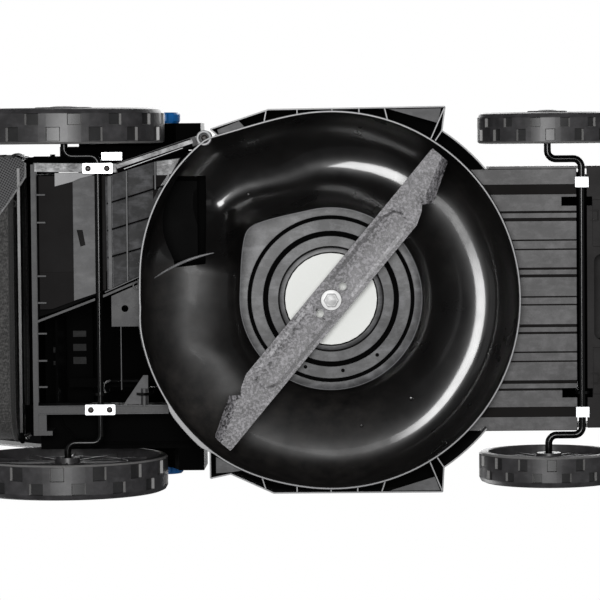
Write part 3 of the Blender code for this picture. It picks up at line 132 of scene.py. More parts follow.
class Recipe(Board):
    """One material and the few nodes that every finish here is made of."""

    def __init__(self, name):
        self.material = bpy.data.materials.new(name)
        super().__init__(self.material, "Principled BSDF", "Material Output")
        self.place = self.node("ShaderNodeTexCoord").out("Object")

    def stretch(self, x, y, z):
        sockets = {"Vector": self.place, "Scale": (x, y, z)}
        return self.node("ShaderNodeMapping", None, sockets).out("Vector")

    def noise(self, scale, detail=3.0, rough=0.55, place=None):
        sockets = {"Vector": place or self.place, "Scale": scale, "Detail": detail, "Roughness": rough}
        return self.node("ShaderNodeTexNoise", None, sockets).out("Fac")

    def cells(self, scale):
        sockets = {"Vector": self.place, "Scale": scale}
        return self.node("ShaderNodeTexVoronoi", None, sockets).out("Distance")

    def wave(self, turns, place):
        """Stripes from 0 to 1 and back along the place's length, this many a metre."""
        split = self.node("ShaderNodeSeparateXYZ", None, {0: place})
        total = (split.out("X") + split.out("Y") + split.out("Z")) * (turns * 6.2832)
        return total.join("SINE", total) * 0.5 + 0.5

    def along(self, axis, place=None):
        """One part of a place or direction, of the mower's own place if none is given."""
        return self.node("ShaderNodeSeparateXYZ", None, {0: place or self.place}).out(axis)

    def ramp(self, value, low, high, to_low=0.0, to_high=1.0):
        sockets = {"Value": value, "From Min": low, "From Max": high, "To Min": to_low, "To Max": to_high}
        return self.node("ShaderNodeMapRange", {"clamp": True}, sockets).out("Result")

    def tint(self, share, first, second):
        sockets = {"Factor": share, 6: (*first, 1.0), 7: (*second, 1.0)}
        return self.node("ShaderNodeMix", {"data_type": "RGBA"}, sockets).out(2)

    def bump(self, height, distance):
        sockets = {"Height": height, "Distance": distance}
        self.set(Normal=self.node("ShaderNodeBump", None, sockets).out("Normal"))


MOULD_GRAIN = 0.00002


def moulded(name, dark, light, rough, dust=0.25, shine=0.5, cloud=0.0):
    """Moulded plastic: mottling, fine speckle, a little pale dust and scuffed clouds."""
    recipe = Recipe(name)
    mottle = recipe.noise(14.0, 4.0)
    speckle = recipe.ramp(recipe.noise(900.0, 2.0), 0.56, 0.74)
    flecks = recipe.ramp(recipe.cells(420.0), 0.09, 0.03)
    sparse = recipe.ramp(recipe.noise(30.0, 2.0), 0.55, 0.70)
    share = mottle * 0.5 + speckle * 0.35 + flecks * sparse * dust
    if cloud:
        patches = recipe.ramp(recipe.noise(62.0, 5.0, 0.62), 0.44, 0.66)
        smears = recipe.ramp(recipe.noise(150.0, 3.0, 0.6, recipe.stretch(0.35, 1.0, 1.0)), 0.52, 0.68)
        share = share * (1.0 - cloud) + (patches * 0.7 + smears * 0.45) * cloud
    recipe.set(Base_Color=recipe.tint(share, dark, light))
    recipe.set(Roughness=recipe.ramp(mottle, 0.3, 0.7, rough - 0.05, rough + 0.07))
    recipe.set(Specular_IOR_Level=shine)
    recipe.bump(recipe.noise(700.0, 2.0), MOULD_GRAIN)
    return recipe.material


def chamber_gloss():
    """Shiny black plastic of the cutting chamber, hazed by dust where clippings dried; the haze also lightens
    its colour, a painted soft glow.
    """
    recipe = Recipe("chamber_gloss")
    x = recipe.along("X") - BLADE_X
    y = recipe.along("Y")
    smear = recipe.noise(26.0, 4.0)
    streaks = recipe.noise(60.0, 4.0, 0.65)
    left_arc = recipe.ramp(y, 0.06, 0.13) * recipe.ramp(x, 0.03, 0.115, 1.0, 0.0)
    away = ((x - 0.150) ** 2.0 + (y + 0.095) ** 2.0) ** 0.5
    behind_tip = recipe.ramp(away, 0.030, 0.085, 1.0, 0.0)
    rear = recipe.ramp(x, -0.150, -0.085, 1.0, 0.0) * recipe.ramp(y, -0.050, -0.035)
    haze_and_painted_glow = left_arc + behind_tip * 0.55 + rear * 0.85
    dust = recipe.ramp(recipe.cells(300.0), 0.07, 0.03) * recipe.ramp(recipe.noise(22.0, 2.0), 0.58, 0.74)
    # The haze tints the colour brownish grey: a painted soft glow where broad dim reflections lie, besides
    # the dust it puts into roughness and coat
    share = smear * 0.25 + dust * 0.4 + haze_and_painted_glow * recipe.ramp(streaks, 0.35, 0.70) * 0.42
    recipe.set(Base_Color=recipe.tint(share, (0.0018, 0.0018, 0.002), (0.026, 0.023, 0.021)))
    recipe.set(Roughness=recipe.ramp(smear, 0.35, 0.68, 0.26, 0.38) + haze_and_painted_glow * 0.16)
    recipe.set(Specular_IOR_Level=0.34, Coat_Roughness=0.10)
    recipe.set(Coat_Weight=recipe.ramp(haze_and_painted_glow + streaks * 0.30 - 0.15, 0.0, 0.62, 0.80, 0.03))
    recipe.bump(recipe.noise(17.0, 2.0), 0.0006)
    return recipe.material


def shade_painted_within(name, dark, light, rough, low, high):
    """Moulded plastic with painted shade: faces turned down sink into black between two heights, where shade
    falls up inside the mower.
    """
    recipe = Recipe(name)
    patches = recipe.ramp(recipe.noise(70.0, 4.0, 0.6), 0.42, 0.66)
    speckle = recipe.ramp(recipe.noise(900.0, 2.0), 0.5, 0.74)
    recipe.set(Base_Color=recipe.tint(patches * 0.55 + speckle * 0.3, dark, light))
    recipe.set(Roughness=recipe.ramp(patches, 0.0, 1.0, rough - 0.05, rough + 0.08))
    recipe.set(Specular_IOR_Level=0.3)
    recipe.bump(recipe.noise(700.0, 2.0), MOULD_GRAIN)
    down = recipe.along("Z", recipe.node("ShaderNodeNewGeometry").out("Normal")) * -1.0
    # Painted shade: a black sheet over the faces turned down, high up inside the mower
    inner = recipe.ramp(recipe.along("Z"), low, high) * recipe.ramp(down, -0.15, 0.25)
    black = recipe.node("ShaderNodeBsdfDiffuse", None, {"Color": (0.0022, 0.0022, 0.0022, 1.0)})
    recipe.show_mix(inner, black.out())
    return recipe.material


def bright_metal(name, colour, rough):
    recipe = Recipe(name)
    blur = recipe.noise(60.0, 3.0)
    brushed = recipe.noise(500.0, 2.0, 0.5, recipe.stretch(0.15, 1.0, 1.0))
    deep = tuple(c * 0.72 for c in colour)
    recipe.set(Base_Color=recipe.tint(blur * 0.6 + brushed * 0.4, deep, colour))
    recipe.set(Metallic=1.0, Roughness=recipe.ramp(brushed, 0.3, 0.7, rough - 0.06, rough + 0.1))
    recipe.bump(brushed, 0.00002)
    return recipe.material


def coated_steel(name, dark, light):
    """The blade's dark grey coating: a cast grain with pale and dark specks."""
    recipe = Recipe(name)
    grain = recipe.ramp(recipe.noise(300.0, 3.0, 0.75), 0.43, 0.57)
    broad = recipe.ramp(recipe.noise(75.0, 3.0), 0.35, 0.65)
    specks = recipe.ramp(recipe.cells(260.0), 0.16, 0.04)
    recipe.set(Base_Color=recipe.tint(grain * 0.68 + broad * 0.24 + specks * 0.30, dark, light))
    recipe.set(Roughness=recipe.ramp(grain, 0.0, 1.0, 0.38, 0.55), Metallic=0.0)
    recipe.bump(grain, 0.00012)
    return recipe.material


def woven(name, dark, light, threads, rough):
    """Coarse woven cloth: two crossing thread directions, with fluff and speckle."""
    recipe = Recipe(name)
    warp = recipe.wave(threads, recipe.stretch(1.0, 0.35, 0.0))
    weft = recipe.wave(threads, recipe.stretch(0.0, 0.35, 1.0))
    weave = warp * 0.5 + weft * 0.5
    fluff = recipe.ramp(recipe.noise(420.0, 3.0), 0.42, 0.70)
    wear = recipe.noise(9.0, 3.0)
    recipe.set(Base_Color=recipe.tint(weave * 0.25 + fluff * 0.55 + wear * 0.15, dark, light))
    recipe.set(Roughness=rough, Sheen_Weight=0.15)
    recipe.bump(weave * 0.6 + fluff * 0.4, 0.0004)
    return recipe.material


def bag_mesh():
    """Open net: pale threads over dark holes, in rows a few millimetres apart."""
    recipe = Recipe("bag_net")
    rows = recipe.wave(330.0, recipe.stretch(1.0, 0.55, 0.55))
    columns = recipe.wave(330.0, recipe.stretch(-0.55, 1.0, 1.0))
    holes = (rows * columns).above(0.30)
    recipe.set(Base_Color=recipe.tint(holes, (0.09, 0.09, 0.092), (0.006, 0.006, 0.006)))
    recipe.set(Roughness=0.75, Sheen_Weight=0.1)
    recipe.bump(1.0 - rows * columns, 0.0006)
    return recipe.material


# Finish: material, dark and light colour, roughness, dust, shine and scuffed clouds
MOULDED = {
    # plate: mottled grey plastic whose cloudy patches are partly painted reflection
    "plate": ("plate_mottle_and_sheen", (0.014, 0.014, 0.0148), (0.120, 0.120, 0.126), 0.42, 0.4, 0.42, 0.75),
    # lip and edge: pale finishes that paint the highlights on rounded lips and edges
    "lip": ("lip_painted_highlight", (0.09, 0.09, 0.092), (0.26, 0.26, 0.27), 0.36, 0.6),
    "edge": ("edge_painted_highlight", (0.15, 0.15, 0.152), (0.42, 0.42, 0.43), 0.34, 0.6, 0.55),
    "shade": ("groove_shade", (0.001, 0.001, 0.001), (0.003, 0.003, 0.003), 0.85, 0.0, 0.03),
    "scuffed": ("scuffed_edges", (0.018, 0.018, 0.019), (0.105, 0.104, 0.108), 0.47, 0.4, 0.4, 0.45),
    "hub_plate": ("grained_plate", (0.050, 0.050, 0.052), (0.150, 0.150, 0.156), 0.5, 0.7, 0.4, 0.2),
    "grid": ("grid_dark", (0.006, 0.006, 0.0065), (0.075, 0.075, 0.080), 0.50, 0.5, 0.16, 0.8),
    "gloss_brown": ("floor_brown", (0.0030, 0.0025, 0.0025), (0.011, 0.0095, 0.0095), 0.50, 0.2, 0.06),
    "silver_speckle": ("rail_worn", (0.008, 0.008, 0.009), (0.56, 0.56, 0.57), 0.42, 0.5, 0.5, 0.85),
    "skirt": ("skirt_satin", (0.008, 0.008, 0.0085), (0.030, 0.030, 0.031), 0.40, 0.25, 0.38),
    "panel": ("panel_satin", (0.016, 0.015, 0.015), (0.128, 0.124, 0.128), 0.44, 0.25, 0.40, 0.5),
    # sunk: near-black groove floors and bands of the front panel, painted shade
    "sunk": ("sunk_bands_painted_shade", (0.004, 0.0032, 0.003), (0.010, 0.0085, 0.008), 0.7, 0.1, 0.12),
    "nose": ("nose_dark", (0.008, 0.007, 0.007), (0.028, 0.026, 0.026), 0.5, 0.25, 0.12, 0.3),
    "black": ("hood_black", (0.008, 0.008, 0.0085), (0.026, 0.026, 0.027), 0.40, 0.25, 0.30),
    # inside: near black for the chute's tunnel, painted shade deep inside it
    "inside": ("tunnel_painted_shade", (0.0012, 0.0012, 0.0012), (0.003, 0.003, 0.003), 0.6, 0.25, 0.03),
    "grey": ("lid_grey", (0.10, 0.10, 0.105), (0.17, 0.17, 0.175), 0.45),
    # vent: grey patches that paint the daylight seen through the hood's vents
    "vent_glow": ("vent_painted_light", (0.015, 0.015, 0.015), (0.050, 0.050, 0.050), 0.6, 0.25, 0.1, 0.4),
    "blue": ("knob_blue", (0.006, 0.125, 0.40), (0.012, 0.18, 0.52), 0.35, 0.05, 0.4),
    "flange": ("flange_white", (0.82, 0.83, 0.80), (0.93, 0.94, 0.91), 0.6, 0.0, 0.3),
    "tread": ("wheel_tread", (0.014, 0.0135, 0.014), (0.074, 0.071, 0.075), 0.38, 0.25, 0.48, 0.4),
    # tread_floor_shade and tread_edge_highlight: painted shade in the pockets and painted highlight on their
    # walls
    "tread_floor_shade": ("tread_floor_shade", (0.006, 0.006, 0.006), (0.030, 0.029, 0.030), 0.34, 0.25, 0.5, 0.3),
    "tread_edge_highlight": ("tread_edge_highlight", (0.10, 0.098, 0.096), (0.36, 0.355, 0.35), 0.4, 0.6),
    "bolt": ("bolt_silver", (0.36, 0.36, 0.358), (1.0, 1.0, 0.99), 0.34, 0.4, 0.5, 0.7),
    "washer": ("washer_silver", (0.72, 0.72, 0.715), (1.0, 1.0, 0.99), 0.34, 0.4, 0.5, 0.5),
    # screw: dark brown screws, and painted shade on the sides of the bolt and washer
    "screw": ("screw_brown_and_side_shade", (0.006, 0.004, 0.003), (0.050, 0.035, 0.028), 0.45, 0.1, 0.3),
    "rod": ("rod_enamel", (0.0015, 0.0015, 0.0015), (0.004, 0.004, 0.004), 0.13, 0.05, 0.20),
    "foam": ("grip_foam", (0.012, 0.012, 0.012), (0.03, 0.03, 0.03), 0.9),
}
FINISHES = {
    **{finish: moulded(*row) for finish, row in MOULDED.items()},
    "deck": chamber_gloss(),
    # Chassis and hood: satin plastic with painted shade up inside them
    "chassis": shade_painted_within("chassis_satin_shaded_within", (0.016, 0.016, 0.0165), (0.085, 0.084, 0.087), 0.46,
                           0.1115, 0.1165),
    "hood": shade_painted_within("hood_satin_shaded_within", (0.008, 0.008, 0.0085), (0.026, 0.026, 0.027), 0.38, 0.1025, 0.1050),
    "blade": coated_steel("blade_coat", (0.016, 0.015, 0.016), (0.350, 0.340, 0.356)),
    # Dark and pale copies of the blade coat: painted shade and painted highlight on the rolled edges
    "blade_dark": coated_steel("blade_coat_shaded", (0.018, 0.017, 0.018), (0.170, 0.165, 0.173)),
    "blade_light": coated_steel("blade_coat_painted_highlight", (0.095, 0.093, 0.097), (0.480, 0.470, 0.485)),
    "zinc": bright_metal("zinc_plate", (0.62, 0.63, 0.64), 0.38),
    "cloth": woven("bag_cloth", (0.006, 0.006, 0.006), (0.105, 0.102, 0.099), 420.0, 0.85),
    "mesh": bag_mesh(),
    "piping": woven("bag_piping", (0.006, 0.006, 0.006), (0.022, 0.021, 0.020), 900.0, 0.8),
    "binding": woven("bag_binding", (0.10, 0.10, 0.10), (0.34, 0.34, 0.34), 900.0, 0.8),
}

SLOT_FINISH = {
    "deck_plastic": "deck", "chassis_plastic": "chassis", "tunnel_plastic": "inside",
    "hood_plastic": "hood", "lid_plastic": "grey", "blue_plastic": "blue", "motor_flange": "flange",
    "bright_steel": "zinc", "blade_steel": "blade", "black_steel": "rod", "black_tube": "rod",
    "wheel_tread": "tread", "hubcap_plastic": "black", "bag_cloth": "cloth", "grip_foam": "foam",
}
# Steel up inside the hood, given the black rod finish: painted shade
SHADED_STEEL = ("link_rod", "flap_pin", "height_rack", "height_lever")


def dress_solids():
    """Give each solid that stays the finish of its slot, and paint the steel inside the hood black as painted
    shade.
    """
    for row in frame["record"]["subparts"]:
        item = frame["nodes"][row["node"]]
        finish = "rod" if row["node"] in SHADED_STEEL else SLOT_FINISH[row["material_slot"]]
        for slot in item.material_slots:
            slot.material = FINISHES[finish]


# Forms, written from the blade's axis like the mower's own sizes

def at_rest(point):
    """Move a place from the blade's axis to the frame."""
    return (point[0] + BLADE_X, point[1], point[2])


def mix(a, b, share):
    return a + (b - a) * share


def ease(value):
    value = max(0.0, min(1.0, value))
    return value * value * (3.0 - 2.0 * value)


def along_stations(stations, x):
    """The value at x on straight lines through (x, value) stations in rising x."""
    if x <= stations[0][0]:
        return stations[0][1]
    for (x0, v0), (x1, v1) in zip(stations, stations[1:]):
        if x <= x1:
            return mix(v0, v1, (x - x0) / (x1 - x0))
    return stations[-1][1]


def loft(rings, closed=False):
    """Join rings of equal count with quads, and close the two ends, or the last to the first."""
    count = len(rings[0])
    points = [point for ring in rings for point in ring]
    faces = []
    spans = len(rings) if closed else len(rings) - 1
    for i in range(spans):
        here = i * count
        there = ((i + 1) % len(rings)) * count
        for j in range(count):
            k = (j + 1) % count
            faces.append((here + j, here + k, there + k, there + j))
    if not closed:
        faces.append(tuple(range(count)))
        faces.append(tuple(range(len(points) - count, len(points))))
    return points, faces


def prism(outline, low, high):
    """An upright block over a plan outline."""
    return loft([[(x, y, low) for x, y in outline], [(x, y, high) for x, y in outline]])


def side_prism(outline, low, high):
    """A block across the mower over an outline of (x, z)."""
    return loft([[(x, low, z) for x, z in outline], [(x, high, z) for x, z in outline]])


def block(x0, x1, y0, y1, z0, z1):
    return prism([(x0, y0), (x1, y0), (x1, y1), (x0, y1)], z0, z1)


def turned(profile, centre, axis="z", steps=48):
    """Turn a closed profile of (radius, along) round an upright axis, or one across the mower."""
    rings = []
    for i in range(steps):
        angle = 2.0 * math.pi * i / steps
        c, s = math.cos(angle), math.sin(angle)
        if axis == "z":
            rings.append([(centre[0] + r * c, centre[1] + r * s, along) for r, along in profile])
        else:
            rings.append([(centre[0] + r * c, along, centre[2] + r * s) for r, along in profile])
    return loft(rings, closed=True)


def plug(radius, low, high, centre, axis="z", steps=40):
    """A plain round core, mostly to cut holes with."""
    return turned([(CORE, low), (radius, low), (radius, high), (CORE, high)], centre, axis, steps)


def arc(x, y, radius, start, stop, count):
    """Points in a plane along an arc between two bearings in degrees, both ends included."""
    angles = [math.radians(mix(start, stop, i / (count - 1))) for i in range(count)]
    return [(x + radius * math.cos(angle), y + radius * math.sin(angle)) for angle in angles]


def fillet(corners, radius, steps):
    """A path through corners, each inner corner rounded to the radius."""
    corners = [Vector(c) for c in corners]
    path = [corners[0]]
    for before, here, after in zip(corners, corners[1:], corners[2:]):
        into = (before - here).normalized()
        out = (after - here).normalized()
        half = into.angle(out) / 2.0
        reach = radius / math.tan(half)
        centre = here + (into + out).normalized() * (radius / math.sin(half))
        a = (here + into * reach - centre).normalized()
        b = (here + out * reach - centre).normalized()
        turn = a.angle(b)
        for i in range(steps + 1):
            share = i / steps
            point = a * math.sin(turn * (1.0 - share)) + b * math.sin(turn * share)
            path.append(centre + point * (radius / math.sin(turn)))
    path.append(corners[-1])
    return path


def bar(path, radius, sides, closed=False):
    """A round bar along a path."""
    path = [Vector(p) for p in path]
    count = len(path)
    rings = []
    normal = None
    for i, point in enumerate(path):
        before = path[i - 1] if closed or i else path[0]
        after = path[(i + 1) % count] if closed or i < count - 1 else path[-1]
        tangent = (after - before).normalized()
        if normal is None:
            normal = Vector((0.0, 0.0, 1.0)) - tangent * tangent.z
            if normal.length < 0.05:
                normal = Vector((1.0, 0.0, 0.0)) - tangent * tangent.x
        normal = (normal - tangent * tangent.dot(normal)).normalized()
        across = tangent.cross(normal)
        angles = [2.0 * math.pi * (j + 0.5) / sides for j in range(sides)]
        rings.append([tuple(point + (normal * math.cos(a) + across * math.sin(a)) * radius) for a in angles])
    return loft(rings, closed)


def rounded(half_x, half_y, corner, centre):
    """A plan outline of a rounded rectangle."""
    outline = []
    for cx, cy, start in ((1, 1, 0), (-1, 1, 90), (-1, -1, 180), (1, -1, 270)):
        x = centre[0] + cx * (half_x - corner)
        y = centre[1] + cy * (half_y - corner)
        outline += arc(x, y, corner, start, start + 90.0, 6)
    return outline


def wall_run(points, thickness):
    """The plan outline of a wall of even thickness along a line of points."""
    line = [Vector((p[0], p[1])) for p in points]
    left = []
    right = []
    for i, point in enumerate(line):
        into = (point - line[i - 1]).normalized() if i else (line[1] - point).normalized()
        out = (line[i + 1] - point).normalized() if i < len(line) - 1 else into
        along = (into + out).normalized()
        across = Vector((-along.y, along.x))
        reach = thickness / 2.0 / max(0.3, along.dot(into))
        left.append(tuple(point + across * reach))
        right.append(tuple(point - across * reach))
    return left + right[::-1]


def mesh_of(name, forms):
    """One mesh of one or more forms, with its faces turned outwards."""
    shape = bmesh.new()
    for points, faces in forms:
        corners = [shape.verts.new(at_rest(point)) for point in points]
        for face in faces:
            shape.faces.new([corners[i] for i in face])
    bmesh.ops.recalc_face_normals(shape, faces=shape.faces)
    mesh = bpy.data.meshes.new(name)
    shape.to_mesh(mesh)
    shape.free()
    return mesh


def set_out(name, data):
    """Put a mesh, a light or a camera into the scene."""
    item = bpy.data.objects.new(name, data)
    bpy.context.scene.collection.objects.link(item)
    return item


def piece(name, forms, finish, body, slot, stands_for=(), crease=35.0, edge=0.0):
    """One visible object made of one or more forms, with its finish and its body; the slot is not used."""
    mesh = mesh_of(name, forms)
    mesh.shade_smooth()
    mesh.set_sharp_from_angle(angle=math.radians(crease))
    mesh.materials.append(FINISHES[finish])
    item = set_out(name, mesh)
    if edge:
        worn = item.modifiers.new("edges", "BEVEL")
        worn.width = edge
        worn.segments = 2
        worn.limit_method = "ANGLE"
        worn.angle_limit = math.radians(40.0)
        worn.harden_normals = True
    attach(item, body)
    if stands_for:
        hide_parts(*stands_for)
    return item


def deck_part(name, forms, finish, stands_for=(), **more):
    return piece(name, forms, finish, "chassis", "deck_plastic", stands_for, **more)


def chassis_part(name, forms, finish, stands_for=(), **more):
    return piece(name, forms, finish, "chassis", "chassis_plastic", stands_for, **more)


def bag_part(name, forms, finish, stands_for=(), **more):
    return piece(name, forms, finish, "bag", "bag_cloth", stands_for, **more)


def finish_faces(item, finish, wanted):
    """Give another finish to the faces that wanted(centre, upward share of the normal) picks."""
    item.data.materials.append(FINISHES[finish])
    index = len(item.data.materials) - 1
    for face in item.data.polygons:
        if wanted(face.center, face.normal.z):
            face.material_index = index


def carve(item, forms, solver="EXACT"):
    """Cut forms out of a piece and keep the result as its mesh."""
    cutter = set_out("cutter", mesh_of("cutter", forms))
    change = item.modifiers.new("carve", "BOOLEAN")
    change.operation = "DIFFERENCE"
    change.solver = solver
    change.object = cutter
    while item.modifiers[0] != change:
        item.modifiers.move(len(item.modifiers) - 1, 0)
    shown = [other for other in item.modifiers if other != change]
    for other in shown:
        other.show_viewport = False
    graph = bpy.context.evaluated_depsgraph_get()
    carved = bpy.data.meshes.new_from_object(item.evaluated_get(graph), depsgraph=graph)
    item.modifiers.remove(change)
    for other in shown:
        other.show_viewport = True
    item.data = carved
    bpy.data.objects.remove(cutter)


# Deck: bearings are degrees from the front towards the right side

RIM_RADIUS = 0.2068
RIM_Z = 0.045
WALL = 0.003
WALL_FOOT_Z = 0.075
# Bearings where the rim starts to open out, is widest and is round again
BULGE_START = 95.0
BULGE_PEAK = 127.0
BULGE_END = 182.0
ISLAND_RADIUS = 0.102
ISLAND_CORNER = 139.5
CORNER_REACH = 38.0
# The channel's roof starts low at the chute's bearing and climbs between two turns from there
CHUTE_BEARING = 168.0
CLIMB_START = 14.0
CLIMB_END = 332.0
ROOF_LOW = 0.112
ROOF_HIGH = 0.168
PLATE_Z = 0.085
MOTOR_HOLE = 0.0516
# Outer radius, inner radius and depth
RING_GROOVES = ((0.0929, 0.0887, 0.0045), (0.0757, 0.0699, 0.0048))
ARCH_SAMPLES = 46


def rim_radius(bearing):
    """The deck's wall opens out ahead of the chute and is a little wider behind it."""
    bearing %= 360.0
    bulge = 0.0
    if BULGE_START <= bearing < BULGE_PEAK:
        bulge = ((bearing - BULGE_START) / (BULGE_PEAK - BULGE_START)) ** 3
    elif BULGE_PEAK <= bearing < BULGE_END:
        bulge = math.cos(math.radians((bearing - BULGE_PEAK) / (BULGE_END - BULGE_PEAK) * 90.0))
    heel = ease((bearing - 172.0) / 18.0) * (1.0 - ease((bearing - 230.0) / 32.0))
    return RIM_RADIUS + 0.0165 * bulge + 0.0047 * heel


def island_radius(bearing):
    """The raised middle is round, with one rounded corner towards the chute."""
    away = abs((bearing - ISLAND_CORNER + 180.0) % 360.0 - 180.0)
    if away > CORNER_REACH:
        return ISLAND_RADIUS
    away = math.hypot(away, 4.0) / CORNER_REACH
    return ISLAND_RADIUS * (1.0 + 0.23 * max(0.0, 1.0 - away) ** 2)


def ceiling(bearing):
    """The channel's roof climbs once round to the chute and starts low again behind it."""
    turn = (bearing - CHUTE_BEARING) % 360.0
    if turn > CLIMB_END:
        return mix(ROOF_HIGH, ROOF_LOW, ease((turn - CLIMB_END) / (360.0 - CLIMB_END)))
    if turn < CLIMB_START:
        return ROOF_LOW
    climb = (turn - CLIMB_START) / (CLIMB_END - CLIMB_START)
    return ROOF_LOW + 0.040 * climb + 0.016 * ease((climb - 0.80) / 0.20)


# Bearing and how far out the crown lies
CROWN_SHIFT = ((0.0, 0.0155), (30.0, 0.0125), (60.0, 0.0030), (90.0, -0.0030), (110.0, -0.0080),
               (140.0, -0.0060), (165.0, 0.0040), (195.0, 0.0080), (210.0, -0.0060), (222.0, -0.0060),
               (240.0, 0.0170), (270.0, 0.0180), (300.0, 0.0185), (330.0, 0.0150), (360.0, 0.0155))


def crown_shift(bearing):
    """The channel's crown lies farther out along the front and left than at the chute."""
    bearing %= 360.0
    for (b0, v0), (b1, v1) in zip(CROWN_SHIFT, CROWN_SHIFT[1:]):
        if bearing <= b1:
            return mix(v0, v1, ease((bearing - b0) / (b1 - b0)))
    return CROWN_SHIFT[-1][1]


def arch(bearing, skin, samples):
    """(radius, z) over the channel from the wall to the island, skin above its underside."""
    inner = island_radius(bearing)
    outer = rim_radius(bearing)
    middle = (inner + outer) / 2.0
    half = (outer - inner) / 2.0 + skin
    foot_in = PLATE_Z if skin == 0.0 else PLATE_Z + 0.005
    rise = ceiling(bearing) + skin - (WALL_FOOT_Z + foot_in) / 2.0
    squareness = (1.0, 1.0) if skin == 0.0 else (0.75, 0.85)
    line = []
    for i in range(samples):
        turn = math.pi * i / (samples - 1)
        side = math.cos(turn)
        up = max(0.0, math.sin(turn))
        shift = crown_shift(bearing) * up ** 3
        radius = middle + shift + half * math.copysign(abs(side) ** squareness[0], side)
        foot = mix(WALL_FOOT_Z, foot_in, i / (samples - 1))
        line.append((radius, foot + rise * up ** squareness[1]))
    return line


def polar(bearing, radius, z):
    angle = math.radians(bearing)
    return (radius * math.cos(angle), -radius * math.sin(angle), z)


def plan(bearing, radius):
    return polar(bearing, radius, 0.0)[:2]


def bearing_of(x, y):
    return math.degrees(math.atan2(-y, x)) % 360.0


def rim_lip(bearing):
    """The rim is 2 mm thick, and broad for a short way at the left rear."""
    bearing %= 360.0
    return 0.002 + 0.0035 * ease((bearing - 211.0) / 4.0) * (1.0 - ease((bearing - 228.0) / 4.0))


def groove(outer, inner, depth):
    """A ring groove in the plate with slightly rounded lips."""
    return [(outer + 0.0004, PLATE_Z), (outer, PLATE_Z + 0.0004), (outer, PLATE_Z + depth),
            (inner, PLATE_Z + depth), (inner, PLATE_Z + 0.0004), (inner - 0.0004, PLATE_Z)]


def chamber_section(bearing):
    """Closed section of the deck from the rim's inside up, over and back down its outside."""
    wall = rim_radius(bearing)
    lip = rim_lip(bearing)
    edge = island_radius(bearing)
    section = [(wall + 0.0005, RIM_Z), (wall + 0.0001, RIM_Z + 0.0003), (wall, RIM_Z + 0.0008)]
    section += [(wall, mix(RIM_Z + 0.002, WALL_FOOT_Z - 0.002, i / 4.0)) for i in range(5)]
    section += arch(bearing, 0.0, ARCH_SAMPLES)[:-1]
    section += [(edge, PLATE_Z + 0.0010), (edge - 0.0003, PLATE_Z + 0.0003), (edge - 0.0011, PLATE_Z)]
    for ring in RING_GROOVES:
        section += groove(*ring)
    section += [(0.0590, PLATE_Z), (0.0576, PLATE_Z - 0.0016), (0.0568, PLATE_Z - 0.0020),
                (0.0524, PLATE_Z - 0.0020), (MOTOR_HOLE, PLATE_Z - 0.0013), (MOTOR_HOLE, PLATE_Z + 0.005)]
    section += arch(bearing, WALL, 24)[::-1]
    section += [(wall + lip, WALL_FOOT_Z - 0.008), (wall + lip, RIM_Z + 0.0007),
                (wall + lip - 0.0005, RIM_Z)]
    return section


def tunnel_y(x):
    """The chute's left side leans out towards the bag."""
    return along_stations(((-0.335, 0.022), (-0.3135, 0.0165), (-0.2536, -0.0085), (-0.2115, -0.0285),
                           (-0.1, -0.040)), x)


def tunnel_floor(x):
    return along_stations(((-0.250, 0.1215), (-0.130, 0.0985)), x)


def tunnel_roof(x):
    return along_stations(((-0.335, 0.256), (-0.300, 0.246), (-0.240, 0.200), (-0.190, 0.160),
                           (-0.1, 0.158)), x)


def tunnel_section(x, skin):
    y0 = -0.1400 + skin
    y1 = tunnel_y(x) - 0.0005 - skin
    z0 = tunnel_floor(x) + skin
    z1 = tunnel_roof(x) - skin
    corner = 0.006
    return [(x, y0, z0), (x, y1, z0), (x, y1, z1 - corner), (x, y1 - corner, z1),
            (x, y0 + corner, z1), (x, y0, z1 - corner)]


CHAMBER_STEPS = 180
TONGUE_STEPS = 25


def on_groove_floor(centre, up):
    """Whether a face of the deck lies at the bottom of one of the ring grooves."""
    radius = math.hypot(centre.x - BLADE_X, centre.y)
    return 0.068 < radius < 0.094 and PLATE_Z + 0.0006 < centre.z < PLATE_Z + 0.0060


def on_island_lip(centre, up):
    """The pale ring at the island's edge and the lips of its grooves: painted highlight."""
    if not PLATE_Z - 0.0001 < centre.z < PLATE_Z + 0.0009:
        return False
    radius = math.hypot(centre.x - BLADE_X, centre.y)
    edge = island_radius(bearing_of(centre.x - BLADE_X, centre.y))
    at_edge = abs(radius - edge) < 0.0012
    return at_edge or (abs(up) < 0.95 and radius < 0.095)


# Bearing and radius, and for the nubs also their size
SMALL_HOLES = ((-111.0, 0.0810), (-81.0, 0.0810), (-51.0, 0.0810))
NUBS = ((-52.0, 0.146, 0.0028), (-77.0, 0.149, 0.0022), (128.5, 0.148, 0.0022))
SCREW_BOSS = (-0.1385, -0.1800)


def roof_at(bearing, radius):
    """The height of the channel's underside at a radius."""
    return min(arch(bearing, 0.0, ARCH_SAMPLES), key=lambda place: abs(place[0] - radius))[1]


def nub(bearing, radius, size):
    """A small round knob left on the channel's roof by the mould."""
    z = roof_at(bearing, radius)
    return turned([(CORE, z - size * 0.5), (size * 0.6, z - size * 0.4), (size, z), (size, z + 0.002),
                   (CORE, z + 0.002)], plan(bearing, radius), "z", 16)


